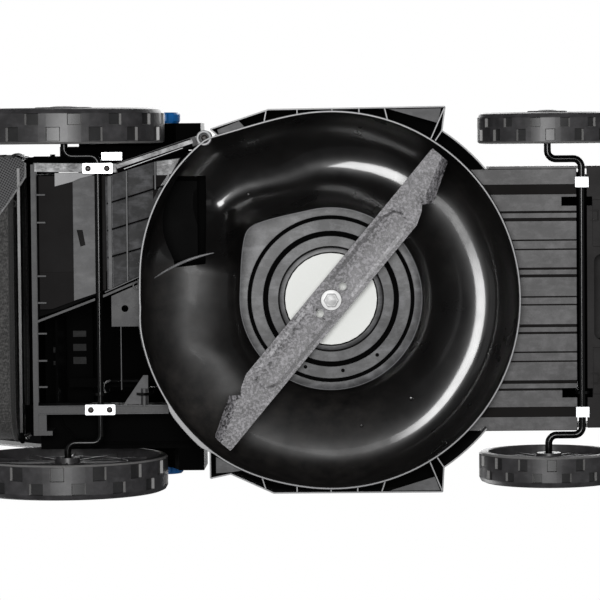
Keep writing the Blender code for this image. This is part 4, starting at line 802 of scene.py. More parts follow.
def make_deck():
    """The cutting chamber with its rim, channel, island and ring grooves."""
    rings = []
    for i in range(CHAMBER_STEPS):
        bearing = 360.0 * i / CHAMBER_STEPS
        rings.append([polar(bearing, r, z) for r, z in chamber_section(bearing)])
    deck = deck_part("deck_chamber", [loft(rings, closed=True)], "deck", ("deck_housing",), crease=28.0)
    mouth = loft([[(a, b, c if c < 0.14 else c + 0.03) for a, b, c in tunnel_section(x, 0.0025)]
                  for x in (-0.140, -0.190, -0.250)])
    carve(deck, [mouth], "MANIFOLD")
    carve(deck, [plug(0.0021, 0.08, 0.088, plan(*spot), steps=16) for spot in SMALL_HOLES], "MANIFOLD")
    # The island's flat faces: mottled grey, partly painted reflection
    finish_faces(deck, "plate", lambda centre, up: abs(up) > 0.9 and centre.z < PLATE_Z + 0.0005)
    finish_faces(deck, "shade", on_groove_floor)
    # The rim's lower edge in the pale edge finish: painted highlight
    finish_faces(deck, "edge", lambda centre, up: up < -0.5 and centre.z < RIM_Z + 0.0007)
    # Island lips in the pale lip finish: painted highlight
    finish_faces(deck, "lip", on_island_lip)
    deck_part("channel_nubs", [nub(*spot) for spot in NUBS], "deck")
    make_chute_mouth()
    make_skirt("skirt_right_walls", RIGHT_SKIRT, RIGHT_RIBS, RIGHT_WEBS, -1)
    make_skirt("skirt_left_walls", LEFT_SKIRT, LEFT_RIBS, LEFT_WEBS, 1)
    make_screw_boss()


def make_chute_mouth():
    """A black plate over the opening to the chute, painted shade, and the rounded tongue at its left side."""
    outline = [(-0.196, -0.150), (-0.100, -0.150), (-0.090, -0.060), (-0.100, -0.010), (-0.196, -0.005)]
    throat = [prism(outline, 0.1730, 0.1750), block(-0.2120, -0.1960, -0.150, -0.005, 0.1780, 0.1800)]
    # A black plate in the shade finish where the view runs up into the chute: painted shade
    piece("chute_shade_plate", throat, "shade", "chassis", "tunnel_plastic")
    rings = []
    for i in range(TONGUE_STEPS):
        share = i / (TONGUE_STEPS - 1)
        bearing = mix(173.0, 158.5, share)
        radius = mix(0.1985, 0.1400, share)
        x, y, z = polar(bearing, radius, min(roof_at(bearing, radius), 0.1135) - 0.0002)
        size = 0.0016 * math.sin(math.pi * (i + 0.4) / (TONGUE_STEPS - 0.2)) ** 0.5
        rings.append([(x + u * 0.4, y + u, z + v) for u, v in arc(0.0, 0.0, size, 0.0, 324.0, 10)])
    # The tongue in the pale lip finish: painted highlight along its edge
    deck_part("chute_tongue", [loft(rings)], "lip", crease=80.0)


RIGHT_SKIRT = ((0.1265, -0.2129), (-0.0675, -0.2112), (-0.1313, -0.1903))
LEFT_SKIRT = ((0.1212, 0.2136), (-0.0653, 0.2134), (-0.1126, 0.1918), (-0.1350, 0.1965))
# Ribs run from a place on the deck's wall to one on the skirt
RIGHT_RIBS = ((-0.0725, -0.0700), (-0.0360, -0.0360), (0.0024, 0.0024), (0.0321, 0.0321), (0.0634, 0.0600))
LEFT_RIBS = ((-0.0785, -0.0740), (-0.0395, -0.0395), (-0.0019, -0.0019), (0.0275, 0.0275), (0.0584, 0.0540))
RIGHT_WEBS = (((0.0640, -0.2100), (0.1225, -0.2105), (0.1190, -0.1940)),
              ((-0.1225, -0.1840), (-0.0925, -0.1905), (-0.1000, -0.1985), (-0.1240, -0.1890)))
LEFT_WEBS = (((0.0620, 0.2115), (0.1190, 0.2115), (0.1130, 0.1960)),
             ((-0.1290, 0.1720), (-0.1290, 0.1905), (-0.1120, 0.1895), (-0.0960, 0.1870)))
SKIRT_LOW = 0.050
SKIRT_TOP = 0.098
SKIRT_RADIUS = 0.2235
WEB_LIFT = 0.0015
THIN = 0.0016


def wall_point(x, side, offset):
    """The place on the deck's wall at x, on one side, offset outwards."""
    radius = rim_radius(bearing_of(x, side * 0.21)) + offset
    return (x, side * math.sqrt(radius ** 2 - x ** 2))


def bearings(start, stop):
    """Bearings from one to the other, about 2.5 degrees apart."""
    count = max(2, int(abs(stop - start) / 2.5) + 1)
    return [mix(start, stop, i / (count - 1)) for i in range(count)]


def make_skirt(name, line, ribs, webs, side):
    """Thin outer wall, ribs, low webs and a roof on one side of the deck."""
    turn = side * -40.0
    far = side * -56.5
    start = 124.0 if side < 0 else -129.5
    near = wall_point(0.1105 if side < 0 else 0.1070, side, 0.001)
    inset = [(x, y - side * THIN / 2.0) for x, y in line]
    outer = [plan(bearing, SKIRT_RADIUS - THIN / 2.0) for bearing in bearings(turn, far)]
    runs = (outer, [plan(far, 0.2095), outer[-1], inset[0]], inset,
            [inset[-1], plan(start, rim_radius(start) + 0.001)], [near, inset[0]])
    forms = [prism(wall_run(run, THIN), SKIRT_LOW, SKIRT_TOP) for run in runs]
    for foot, tip in ribs:
        outside = along_stations(sorted(line), tip) - side * 0.0008
        rib = wall_run([wall_point(foot, side, 0.001), (tip, outside)], THIN)
        forms.append(prism(rib, SKIRT_LOW + 0.0008, SKIRT_TOP))
    roof = [plan(bearing, SKIRT_RADIUS - 0.0003) for bearing in bearings(turn, far)]
    roof += [(x, y - side * 0.0004) for x, y in line]
    roof += [plan(bearing, rim_radius(bearing) + 0.0008) for bearing in bearings(start, turn)]
    forms.append(prism(roof, SKIRT_TOP - 0.0025, SKIRT_TOP - 0.0002))
    forms += [prism(web, SKIRT_LOW + WEB_LIFT, SKIRT_LOW + WEB_LIFT + 0.0020) for web in webs]
    item = deck_part(name, forms, "skirt", edge=0.00035)

    def lies_at(lift, reach):
        return lambda centre, up: up < -0.9 and abs(centre.z - SKIRT_LOW - lift) < reach

    # Lowest edges in the pale edge finish: painted highlight
    finish_faces(item, "edge", lies_at(0.0, 0.0010))
    finish_faces(item, "scuffed", lies_at(WEB_LIFT, 0.0004))
    finish_faces(item, "shade", lambda centre, up: up < -0.9 and centre.z > SKIRT_LOW + 0.01)


def make_screw_boss():
    """The round boss at the right rear of the rim, with its cross-head screw."""
    boss = turned([(0.0055, 0.0640), (0.0055, 0.0478), (0.0062, 0.0470), (0.0078, 0.0470),
                   (0.0085, 0.0478), (0.0085, 0.0965), (CORE, 0.0965), (CORE, 0.0640)],
                  SCREW_BOSS, "z", 40)
    item = deck_part("screw_boss", [boss], "skirt", edge=0.0002)
    # The boss's lower edge in the pale edge finish: painted highlight
    finish_faces(item, "edge", lambda centre, up: up < -0.4 and centre.z < 0.050)
    make_screw("boss_screw", (*SCREW_BOSS, 0.0600), 0.0036, 20.0)


def make_screw(name, at, radius, turn):
    """A pan-head screw seen from below, with a cross-shaped recess."""
    x, y, z = at
    profile = ((0.55, 0.0), (0.88, 0.18), (1.0, 0.42), (1.0, 0.6))
    line = [(r * radius, z + max(0.0001, rise * radius)) for r, rise in profile]
    head = turned([(CORE, z)] + line + [(CORE, z + radius * 0.6)], (x, y), "z", 32)
    screw = piece(name, [head], "screw", "chassis", "bright_steel")
    for quarter in (0.0, 90.0):
        angle = math.radians(turn + quarter)
        c, s = math.cos(angle) * radius, math.sin(angle) * radius
        corners = [(x + u * c - v * s, y + u * s + v * c)
                   for u, v in ((-0.62, -0.14), (0.62, -0.14), (0.62, 0.14), (-0.62, 0.14))]
        carve(screw, [prism(corners, z - 0.001, z + radius * 0.36)])


# Front panel between the wheels

PANEL_HALF = 0.1455
PANEL_Z = 0.074
PANEL_TOP_Z = 0.128
NOSE_X = 0.334
GROOVE_X = (0.2728, 0.2842)
# Distance from the middle, width and depth
PANEL_LINES = (
    (0.0044, 0.0010, 0.0008), (0.0277, 0.0026, 0.0030), (0.0357, 0.0018, 0.0030),
    (0.0571, 0.0010, 0.0008), (0.0673, 0.0010, 0.0010), (0.0902, 0.0030, 0.0030),
    (0.0985, 0.0018, 0.0030), (0.1236, 0.0105, 0.0022))
PANEL_SHIFT = 0.0027
LINE_SHIFT = 0.0010


def panel_profile():
    """(y, z) across the panel's underside: flats, dark lines and the sunk outer bands."""
    half = []
    for middle, width, depth in PANEL_LINES:
        near, far = middle - width / 2.0, middle + width / 2.0
        half += [(near - 0.0003, PANEL_Z), (near, PANEL_Z + depth), (far, PANEL_Z + depth),
                 (far + 0.0003, PANEL_Z)]
    end = [(PANEL_HALF - 0.0006, PANEL_Z), (PANEL_HALF, PANEL_Z + 0.0008)]
    line = [(-y, z) for y, z in end[::-1]] + [(LINE_SHIFT - y, z) for y, z in half[::-1]]
    line += [(LINE_SHIFT + y, z) for y, z in half] + end
    return [(y + PANEL_SHIFT, z) for y, z in line]


def panel_start(y):
    """Where the panel starts behind the deck's wall at y."""
    radius = rim_radius(bearing_of(0.17, y)) + 0.0036
    return math.sqrt(radius ** 2 - y ** 2)


def make_front_panel():
    """The ridged panel, the axle's groove, the strip ahead of it and the lifting recess."""
    rings = []
    back, front = GROOVE_X
    for y, z in panel_profile():
        start = panel_start(y)
        rings.append([(start, y, z + 0.0006), (start + 0.0006, y, z), (back - 0.0005, y, z),
                      (back, y, z + 0.0005), (back, y, PANEL_Z + 0.0060), (start, y, PANEL_Z + 0.0060)])
    slots = [block(0.2560, 0.2900, y - 0.0050, y + 0.0050, 0.05, 0.2) for y in (-0.1065, 0.1065)]
    panel = deck_part("front_panel_ridges", [loft(rings)], "panel", ("front_panel",), edge=0.0002)
    carve(panel, slots)
    # Groove floors and sunk bands made near black: painted shade
    finish_faces(panel, "sunk", lambda centre, up: PANEL_Z + 0.0004 < centre.z < PANEL_Z + 0.0035)
    walls = [block(x0, x1, -PANEL_HALF, PANEL_HALF, z0, z1)
             for x0, x1, z0, z1 in ((back - 0.0030, back - 0.0004, PANEL_Z + 0.005, 0.0985),
                                    (front + 0.0004, front + 0.0030, PANEL_Z + 0.005, 0.0985),
                                    (back - 0.0030, front + 0.0030, 0.0870, 0.0890))]
    for side in (-1, 1):
        middle = side * (PANEL_HALF - 0.0015)
        walls.append(block(0.1760, NOSE_X - 0.020, middle - 0.0015, middle + 0.0015,
                           PANEL_Z + 0.005, PANEL_TOP_Z))
    trough = deck_part("axle_groove", walls, "panel", edge=0.0003)
    carve(trough, slots)
    make_panel_nose(slots)


def make_panel_nose(slots):
    """The strip ahead of the axle, with square bosses and the recess for lifting hands."""
    x0 = GROOVE_X[1]
    outline = [(x0, -PANEL_HALF), (NOSE_X - 0.020, -PANEL_HALF), (NOSE_X, -PANEL_HALF + 0.030),
               (NOSE_X, PANEL_HALF - 0.030), (NOSE_X - 0.020, PANEL_HALF), (x0, PANEL_HALF)]
    inside = [(NOSE_X - 0.023, PANEL_HALF - 0.003), (NOSE_X - 0.003, PANEL_HALF - 0.032),
              (NOSE_X - 0.003, -PANEL_HALF + 0.032), (NOSE_X - 0.023, -PANEL_HALF + 0.003)]
    strip = deck_part("panel_nose", [prism(outline, PANEL_Z, PANEL_Z + 0.0045)], "nose", ("front_nose",),
                      edge=0.0004)
    recess = prism(rounded(0.0210, 0.0475, 0.008, (0.313, 0.0)), 0.05, 0.2)
    dips = [block(0.2905, 0.3060, y - 0.026, y + 0.026, 0.05, PANEL_Z + 0.0022) for y in (-0.082, 0.082)]
    for cut in ([recess], dips, slots):
        carve(strip, cut)
    bosses = []
    for y in (-0.0905, 0.0905):
        square = [(0.2875, y - 0.0055), (0.2965, y - 0.0055), (0.2965, y + 0.0055), (0.2875, y + 0.0055)]
        bosses.append(prism(wall_run(square, 0.0012), PANEL_Z - 0.0002, PANEL_Z + 0.0035))
    bosses.append(prism(outline[1:5] + inside, PANEL_Z + 0.003, PANEL_TOP_Z))
    lip = rounded(0.0235, 0.0500, 0.010, (0.3095, 0.0))
    inner = rounded(0.0212, 0.0477, 0.008, (0.3095, 0.0))
    levels = ((lip, 0.079), (lip, 0.1080), (inner, 0.1080), (inner, 0.079))
    bosses.append(loft([[(x, y, z) for x, y in line] for line, z in levels], closed=True))
    bosses.append(prism(rounded(0.0225, 0.0490, 0.009, (0.3095, 0.0)), 0.1062, 0.1082))
    deck_part("nose_walls", bosses, "nose", edge=0.0003)


# Cutter

BLADE_COS = math.cos(math.radians(-50.0))
BLADE_SIN = math.sin(math.radians(-50.0))
BLADE_HOLES = ((-0.0196, 0.0045), (0.0196, 0.0045), (0.0, 0.0044))
BLADE_Z = 0.0600
BLADE_THICK = 0.0028
BLADE_STEP = 0.0011
# Distance along the blade, seven places across it and their rises, in steps and millimetres
FLAT = (0.0,) * 7
SUNK = (0.0, 0.0, 1.0, 1.0, 1.0, 0.0, 0.0)
BLADE_ROWS = (
    (16.0, (-18.5, -15.5, -11.5, 0.0, 11.0, 15.0, 18.5), FLAT),
    (20.0, (-18.5, -15.5, -11.5, 0.0, 11.0, 15.0, 18.5), SUNK),
    (96.0, (-18.5, -15.0, -11.5, 0.0, 10.5, 14.5, 18.5), SUNK),
    (104.0, (-18.5, -11.5, -8.5, 0.0, 8.8, 12.0, 18.5), SUNK),
    (110.0, (-18.5, -8.0, -5.3, 0.0, 6.0, 9.0, 18.5), SUNK),
    (112.5, (-18.5, -8.0, -5.3, 0.0, 6.0, 9.0, 18.5), FLAT),
    (126.0, (-18.5, -12.0, -5.0, 1.0, 7.6, 10.6, 13.6), FLAT),
    (131.8, (-18.6, -12.0, -5.0, 1.0, 6.5, 8.0, 9.4), FLAT),
    (140.4, (-18.6, -10.0, -2.0, 6.4, 10.1, 13.7, 17.4), (0.0, 0.0, 0.0, 0.0, 1.4, 4.4, 8.5)),
    (160.0, (-18.7, -12.0, -6.0, 0.4, 3.7, 7.1, 10.4), (0.0, 0.0, 0.0, 0.0, 1.7, 5.5, 10.5)),
    (179.0, (-18.8, -14.5, -10.0, -5.6, -2.6, 0.4, 3.4), (0.0, 0.0, 0.0, 0.0, 1.8, 6.0, 11.5)),
    (182.0, (-18.2, -14.5, -10.5, -6.8, -4.0, -1.3, 1.5), (0.0, 0.0, 0.0, 0.0, 1.7, 5.7, 11.0)))


def on_blade(u, v, z):
    """A place from its distances along and across the blade."""
    return (u * BLADE_COS - v * BLADE_SIN, u * BLADE_SIN + v * BLADE_COS, z)


def across_blade(centre):
    """How far along and across the blade a place lies, the far half turned onto the near one."""
    x, y = centre.x - BLADE_X, centre.y
    along = x * BLADE_COS + y * BLADE_SIN
    across = y * BLADE_COS - x * BLADE_SIN
    half = -BLADE_STEP if along < 0.0 else BLADE_STEP
    return along / half, across / half


def on_dark_strip(centre, up):
    """The rolled edge of the pocket that lies in shade."""
    u, v = across_blade(centre)
    return u < 112.0 and -15.6 < v < -8.2 and -0.999 < up < -0.3


def on_light_strip(centre, up):
    """The rolled edge of the pocket that catches the light."""
    u, v = across_blade(centre)
    return u < 112.0 and 9.0 < v < 15.1 and -0.999 < up < -0.3


def make_blade():
    """The bar blade with ground edges, a sunk middle and a wing behind each tip."""
    half = []
    for u, spots, rises in BLADE_ROWS:
        half.append((u, [(v, rise * 0.001) for v, rise in zip(spots, rises)]))
    mirrored = [(-u, [(-v, rise) for v, rise in points[::-1]]) for u, points in half[::-1]]
    rings = []
    for u, points in mirrored + half:
        u *= BLADE_STEP
        low = [on_blade(u, v * BLADE_STEP, BLADE_Z + rise) for v, rise in points]
        high = [on_blade(u, v * BLADE_STEP, BLADE_Z + rise + BLADE_THICK) for v, rise in points]
        rings.append(low + high[::-1])
    blade = piece("blade_bar", [loft(rings)], "blade", "cutter", "blade_steel", ("blade",), crease=14.0,
                  edge=0.00035)
    carve(blade, [plug(radius, 0.05, 0.07, on_blade(u, 0.0, 0.0)) for u, radius in BLADE_HOLES])
    # The rolled edges: one in painted shade, one in painted highlight
    finish_faces(blade, "blade_dark", on_dark_strip)
    finish_faces(blade, "blade_light", on_light_strip)
    make_blade_bolt()


def make_blade_bolt():
    """The domed hexagon bolt and its washer in the middle of the blade."""
    centre = (0.0, 0.0)
    hexagon = [[(x, y, z) for x, y in arc(0.0, 0.0, 0.0082 * share, 0.0, 300.0, 6)]
               for z, share in ((0.0567, 1.0), (0.0512, 1.0), (0.0505, 0.93))]
    dome = turned([(CORE, 0.0498), (0.0035, 0.0500), (0.0064, 0.0506), (0.0066, 0.0530), (CORE, 0.0530)],
                  centre, "z", 40)
    shank = plug(0.0040, 0.0550, 0.0838, centre, steps=48)
    head = piece("bolt_head", [loft(hexagon), dome, shank], "bolt", "cutter", "bright_steel",
                 ("blade_bolt",), edge=0.0003)
    # The bolt's sides in the dark screw finish: painted shade
    finish_faces(head, "screw", lambda centre, up: abs(up) < 0.5)
    washer = turned([(0.0044, 0.0574), (0.0050, 0.0568), (0.0100, 0.0568), (0.0113, 0.0572),
                     (0.0117, 0.0580), (0.0117, 0.0596), (0.0044, 0.0596)], centre, "z", 64)
    ring = piece("blade_washer_fine", [washer], "washer", "cutter", "bright_steel", ("blade_washer",))
    # The washer's sides in the dark screw finish: painted shade
    finish_faces(ring, "screw", lambda centre, up: abs(up) < 0.9)


# Wheels: place along the mower, radius, inner side, outer side and radius of the hubcap

CRANK = 0.0375
FRONT_WHEEL = (0.2785 - CRANK, 0.0775, 0.170, 0.205, 0.023)
REAR_WHEEL = (-0.2595 - CRANK, 0.1125, 0.174, 0.214, 0.033)
TREAD_PITCH = 24.0
TREAD_POCKET = 8.0
TREAD_DEEP = 0.0030
HUB_BORE = 0.0065
SPOKE_HALF = 0.0008


def tread_angles():
    """Bearings round a wheel, with close pairs at the sides of each pocket."""
    angles = set()
    for row in (0.0, TREAD_PITCH / 2.0):
        for i in range(int(360.0 / TREAD_PITCH)):
            start = TREAD_PITCH * i + row
            angles.update(start + step for step in (0.0, 0.5, TREAD_POCKET / 2.0, TREAD_POCKET - 0.5,
                                                    TREAD_POCKET))
    return sorted(angles)


def in_pocket(angle, row):
    inside = (angle - row * TREAD_PITCH / 2.0) % TREAD_PITCH
    return 0.4 < inside < TREAD_POCKET - 0.4


def spoke(hub, angle, near, far, low, high):
    """A thin rib from the hub to the tyre on a wheel's inner side."""
    c, s = math.cos(angle), math.sin(angle)
    half = SPOKE_HALF
    corners = [(hub[0] + r * c - t * s, hub[1] + r * s + t * c)
               for r, t in ((near, -half), (far, -half), (far, half), (near, half))]
    return side_prism(corners, low, high)


def make_wheel(name, body, spec, side, node):
    """A wheel with a rounded shoulder and two staggered rows of pockets round its tread."""
    x, radius, y0, y1, cap = spec
    width = y1 - y0
    rows = ((0.0040, width * 0.5 - 0.0010), (width * 0.5 + 0.0016, width - 0.0062))
    rings = []
    for degrees in tread_angles():
        angle = math.radians(degrees)
        line = [(HUB_BORE, 0.0035), (0.0135, 0.0030), (0.0150, 0.0140), (radius - 0.0135, 0.0175),
                (radius - 0.0100, 0.0015), (radius - 0.0085, 0.0006), (radius - 0.0022, 0.0012),
                (radius, 0.0030)]
        for row, (near, far) in enumerate(rows):
            deep = radius - (TREAD_DEEP if in_pocket(degrees, row) else 0.0)
            line += [(radius, near - 0.0003), (deep, near + 0.0003), (deep, far - 0.0003),
                     (radius, far + 0.0003)]
        line += [(radius - 0.0004, width - 0.0050), (radius - 0.0022, width - 0.0016),
                 (radius - 0.0060, width), (radius - 0.0100, width - 0.0004),
                 (radius - 0.0120, width - 0.0030), (radius - 0.0200, width - 0.0050),
                 (cap + 0.0042, width - 0.0088), (HUB_BORE, width - 0.0088)]
        rings.append([(x + r * math.cos(angle), side * (y0 + along), radius + r * math.sin(angle))
                      for r, along in line])
    near, far = radius * 0.6 - SPOKE_HALF, radius * 0.6 + SPOKE_HALF
    deep, inner = side * (y0 + 0.0180), side * (y0 + 0.0085)
    hoop = [(near, deep), (near, inner), (far, inner), (far, deep)]
    forms = [loft(rings, closed=True), turned(hoop, (x, 0.0, radius), "y", 60)]
    for i in range(12):
        forms.append(spoke((x, radius), math.radians(30.0 * i), 0.0148, radius - 0.0132,
                           side * (y0 + 0.0080), deep))
    tyre = piece(name, forms, "tread", body, "wheel_tread", (node,), crease=30.0)

    def depth_and_place(centre):
        """How deep in the tread a face lies, and where in the tyre's width."""
        away = math.hypot(centre.x - BLADE_X - x, centre.z - radius)
        return radius - away, abs(centre.y) - y0

    def on_pocket_wall(centre, up):
        """The walls of a pocket, all but the outer one, painted pale: painted highlight."""
        deep, along = depth_and_place(centre)
        between = 0.0003 < deep < TREAD_DEEP - 0.0003 and along < rows[1][1]
        return between and all(abs(along - far) > 0.0004 for _, far in rows)

    def on_pocket_floor(centre, up):
        """The sunk floor of a pocket, painted dark: painted shade."""
        deep, along = depth_and_place(centre)
        return abs(deep - TREAD_DEEP) < 0.0003 and any(near < along < far for near, far in rows)

    finish_faces(tyre, "tread_edge_highlight", on_pocket_wall)
    finish_faces(tyre, "tread_floor_shade", on_pocket_floor)


def make_wheels():
    for label, spec in (("front", FRONT_WHEEL), ("rear", REAR_WHEEL)):
        for word, side in (("right", -1), ("left", 1)):
            body = f"{label}_wheel_body_{word}"
            make_wheel(f"{label}_tyre_{word}", body, spec, side, f"{label}_wheel_{word}")
            make_hubcap(f"{label}_cap_{word}", body, spec, side, f"{label}_hubcap_{word}")


def make_hubcap(name, body, spec, side, node):
    """A domed cap with a raised rim, a dished ring and five shallow dimples."""
    x, radius, _, y1, cap = spec
    low = y1 - 0.0085
    face = y1 + 0.0026
    line = [(CORE, low), (cap - 0.0008, low), (cap - 0.0002, low + 0.0010), (cap - 0.0002, face - 0.0030),
            (cap - 0.0014, face - 0.0010), (cap - 0.0034, face - 0.0008), (cap - 0.0050, face - 0.0022),
            (cap * 0.52, face - 0.0016), (cap * 0.44, face - 0.0002), (cap * 0.25, face + 0.0003),
            (CORE, face + 0.0004)]
    form = turned([(r, side * along) for r, along in line], (x, 0.0, radius), "y", 72)
    item = piece(name, [form], "black", body, "hubcap_plastic", (node,), crease=40.0)
    low, high = side * (face - 0.0032), side * (face + 0.002)
    dimple = [(CORE, low), (0.0026, low), (0.0030, high), (CORE, high)]
    carve(item, [turned(dimple, (u, 0.0, w), "y", 20)
                 for u, w in arc(x, radius, cap * 0.68, 18.0, 306.0, 5)])


# Axle rods: place of the straight middle, half widths at the cranks and at the ends

ROD_RADIUS = 0.004
LINK_ARM = 0.064
LINK_Y = 0.106
FRONT_ROD = (0.2785, 0.0775, 0.1535, 0.1950)
REAR_ROD = (-0.2595, 0.1125, 0.1610, 0.2040)


def make_rod(name, body, spec, node):
    """A round rod bent into a crank at each side, with the lug for the linkage."""
    x, z, arm, end = spec
    back = x - CRANK
    corners = [(back, -end, z), (back, -arm, z), (x, -arm, z), (x, arm, z), (back, arm, z), (back, end, z)]
    lug = arc(x, z + LINK_ARM, 0.0070, 0.0, 180.0, 25) + arc(x, z, 0.0078, 180.0, 360.0, 25)
    forms = [bar(fillet(corners, 0.009, 8), ROD_RADIUS, 28),
             side_prism(lug, LINK_Y - 0.0015, LINK_Y + 0.0015)]
    item = piece(name, forms, "rod", body, "black_steel", (node,), crease=50.0)
    carve(item, [plug(0.0034, LINK_Y - 0.01, LINK_Y + 0.01, (x, 0.0, z + LINK_ARM), "y", 32)])


def make_rods():
    make_rod("front_rod_bent", "front_axle", FRONT_ROD, "front_axle_rod")
    make_rod("rear_rod_bent", "rear_axle", REAR_ROD, "rear_axle_rod")


# Rear chassis, chute and what hangs under the hood

FLOOR_BEND_X = -0.2884
FLOOR_TAIL_X = -0.3262
SIDE_FLOOR_Z = (0.1184, 0.1204)
RIB_TOP_Z = 0.1084
SLANTED_RIBS = (((-0.2493, -0.1077), (-0.1810, -0.1285)), ((-0.2493, -0.0775), (-0.1980, -0.0926)),
                ((-0.2493, -0.0473), (-0.2080, -0.0585)))
# x, y from and to, half thickness
CROSS_RIBS = ((-0.2460, -0.1385, -0.0120, 0.0020), (-0.2270, -0.1440, -0.0210, 0.0009),
              (-0.1950, -0.1540, -0.1230, 0.0009))
STRIP_SLOT = ((-0.2839, -0.0780), (-0.2778, -0.0780), (-0.2748, -0.0614), (-0.2799, -0.0599))
FLOOR_PLATES = (
    # name, finish, lowest, highest, worn edge, outline
    ("floor_grid_back", "grid", 0.1085, 0.1092, 0.0,
     ((-0.2513, -0.1373), (-0.1936, -0.1547), (-0.1668, -0.1581), (-0.1760, -0.1400),
      (-0.1900, -0.1180), (-0.1990, -0.0900), (-0.2090, -0.0500), (-0.2113, -0.0280),
      (-0.2500, -0.0110))),
    # A pale speckled patch at the floor's corner: painted highlight
    ("floor_corner_painted_highlight", "silver_speckle", 0.1080, 0.1084, 0.0,
     ((-0.1936, -0.1540), (-0.1679, -0.1575), (-0.1847, -0.1278), (-0.1936, -0.1211))),
    ("floor_border", "hub_plate", 0.1081, 0.1084, 0.0,
     ((-0.2488, -0.1370), (-0.2432, -0.1385), (-0.2432, -0.0145), (-0.2488, -0.0120))),
    ("floor_strip", "scuffed", 0.1150, 0.1174, 0.0004,
     ((-0.2883, -0.1390), (-0.2630, -0.1390), (-0.2630, -0.0068), (-0.2883, 0.0015))),
    # floor_patch: a pale patch in the lip finish, painted highlight
    ("floor_patch", "lip", 0.1138, 0.1148, 0.0003,
     ((-0.3082, -0.1271), (-0.3082, -0.1425), (-0.2632, -0.1425), (-0.2632, -0.1400),
      (-0.2794, -0.1361), (-0.2884, -0.1322))))
TEETH_Y = (-0.1180, -0.0870, -0.0270, 0.0030, 0.0375, 0.0680, 0.0975)
RAIL_FACES = (
    # name, finish, start, stop, width, lowest, highest, worn edge
    ("rail_face_right", "silver_speckle", (-0.2385, -0.1473), (-0.3300, -0.1488), 0.0096,
     0.1064, 0.1069, 0.0001),
    ("rail_face_slope", "silver_speckle", (-0.1530, -0.1766), (-0.2385, -0.1488), 0.0046,
     0.1060, 0.1065, 0.0001),
    ("rail_groove_slope", "shade", (-0.1540, -0.1750), (-0.2385, -0.1468), 0.0100,
     0.1066, 0.1069, 0.0),
    # The rail's lip in the pale edge finish: painted highlight
    ("rail_lip_slope", "edge", (-0.1640, -0.1690), (-0.2300, -0.1462), 0.0008,
     0.1058, 0.1065, 0.0))
# Black plates of painted shade up inside the rear
SHADE_PLATES = (
    # x from and to, y from and to, height
    (-0.3300, -0.2750, 0.0050, 0.1250, 0.2270), (-0.3300, -0.1600, 0.1270, 0.1715, 0.1500),
    (-0.3045, -0.1590, -0.1715, -0.1453, 0.1500), (-0.3350, -0.3045, -0.1600, -0.1453, 0.1500),
    (-0.3000, -0.0800, 0.0940, 0.1043, 0.1900), (-0.3000, -0.0800, 0.1077, 0.1130, 0.2335))


def floor_front(y):
    """Front edge of the chute's floor, along the deck's wall."""
    radius = rim_radius(bearing_of(-0.2, y)) + 0.0075
    return -math.sqrt(radius ** 2 - y ** 2)


def make_chute_floor():
    """The chute's floor: a plate that climbs from the deck, levels off and is ribbed below."""
    rings = []
    for i in range(13):
        y = mix(-0.1390, -0.0310, i / 12.0)
        front = floor_front(y)
        line = [(front, tunnel_floor(front)), (-0.2480, tunnel_floor(-0.2480)), (-0.2560, 0.1212),
                (FLOOR_BEND_X, 0.1212), (FLOOR_TAIL_X, 0.1150)]
        rings.append([(x, y, z - 0.0006) for x, z in line] + [(x, y, z - 0.0030) for x, z in line[::-1]])
    y = -0.0320
    level = [(-0.2520, y), (-0.2520, -0.0110), (FLOOR_BEND_X, 0.0018), (FLOOR_BEND_X, y)]
    slope = [(FLOOR_BEND_X, y), (FLOOR_BEND_X, 0.0018), (-0.3130, 0.0105), (FLOOR_TAIL_X, 0.0105),
             (FLOOR_TAIL_X, y)]
    sunk = loft([[(x, y, z + (x - FLOOR_BEND_X) * 0.16) for x, y in slope] for z in SIDE_FLOOR_Z])
    plate = [loft(rings), prism(level, *SIDE_FLOOR_Z), sunk]
    chassis_part("chute_floor_plate", plate, "gloss_brown", ("chute_floor",), edge=0.0002)
    slanted = [prism(wall_run(rib, THIN), 0.1025, RIB_TOP_Z) for rib in SLANTED_RIBS]
    chassis_part("floor_ribs_slanted", slanted, "shade", edge=0.0002)
    ribs = [block(x - half, x + half, near, far, 0.1023, RIB_TOP_Z) for x, near, far, half in CROSS_RIBS]
    ribs.append(prism(wall_run([(-0.2525, -0.0088), (-0.2113, -0.0270)], 0.0014), 0.1000, 0.1180))
    chassis_part("floor_ribs", ribs, "scuffed", edge=0.00025)
    for name, finish, low, high, edge, outline in FLOOR_PLATES:
        flat = chassis_part(name, [prism(outline, low, high)], finish, edge=edge)
        if name == "floor_strip":
            carve(flat, [prism(STRIP_SLOT, 0.10, 0.13)])


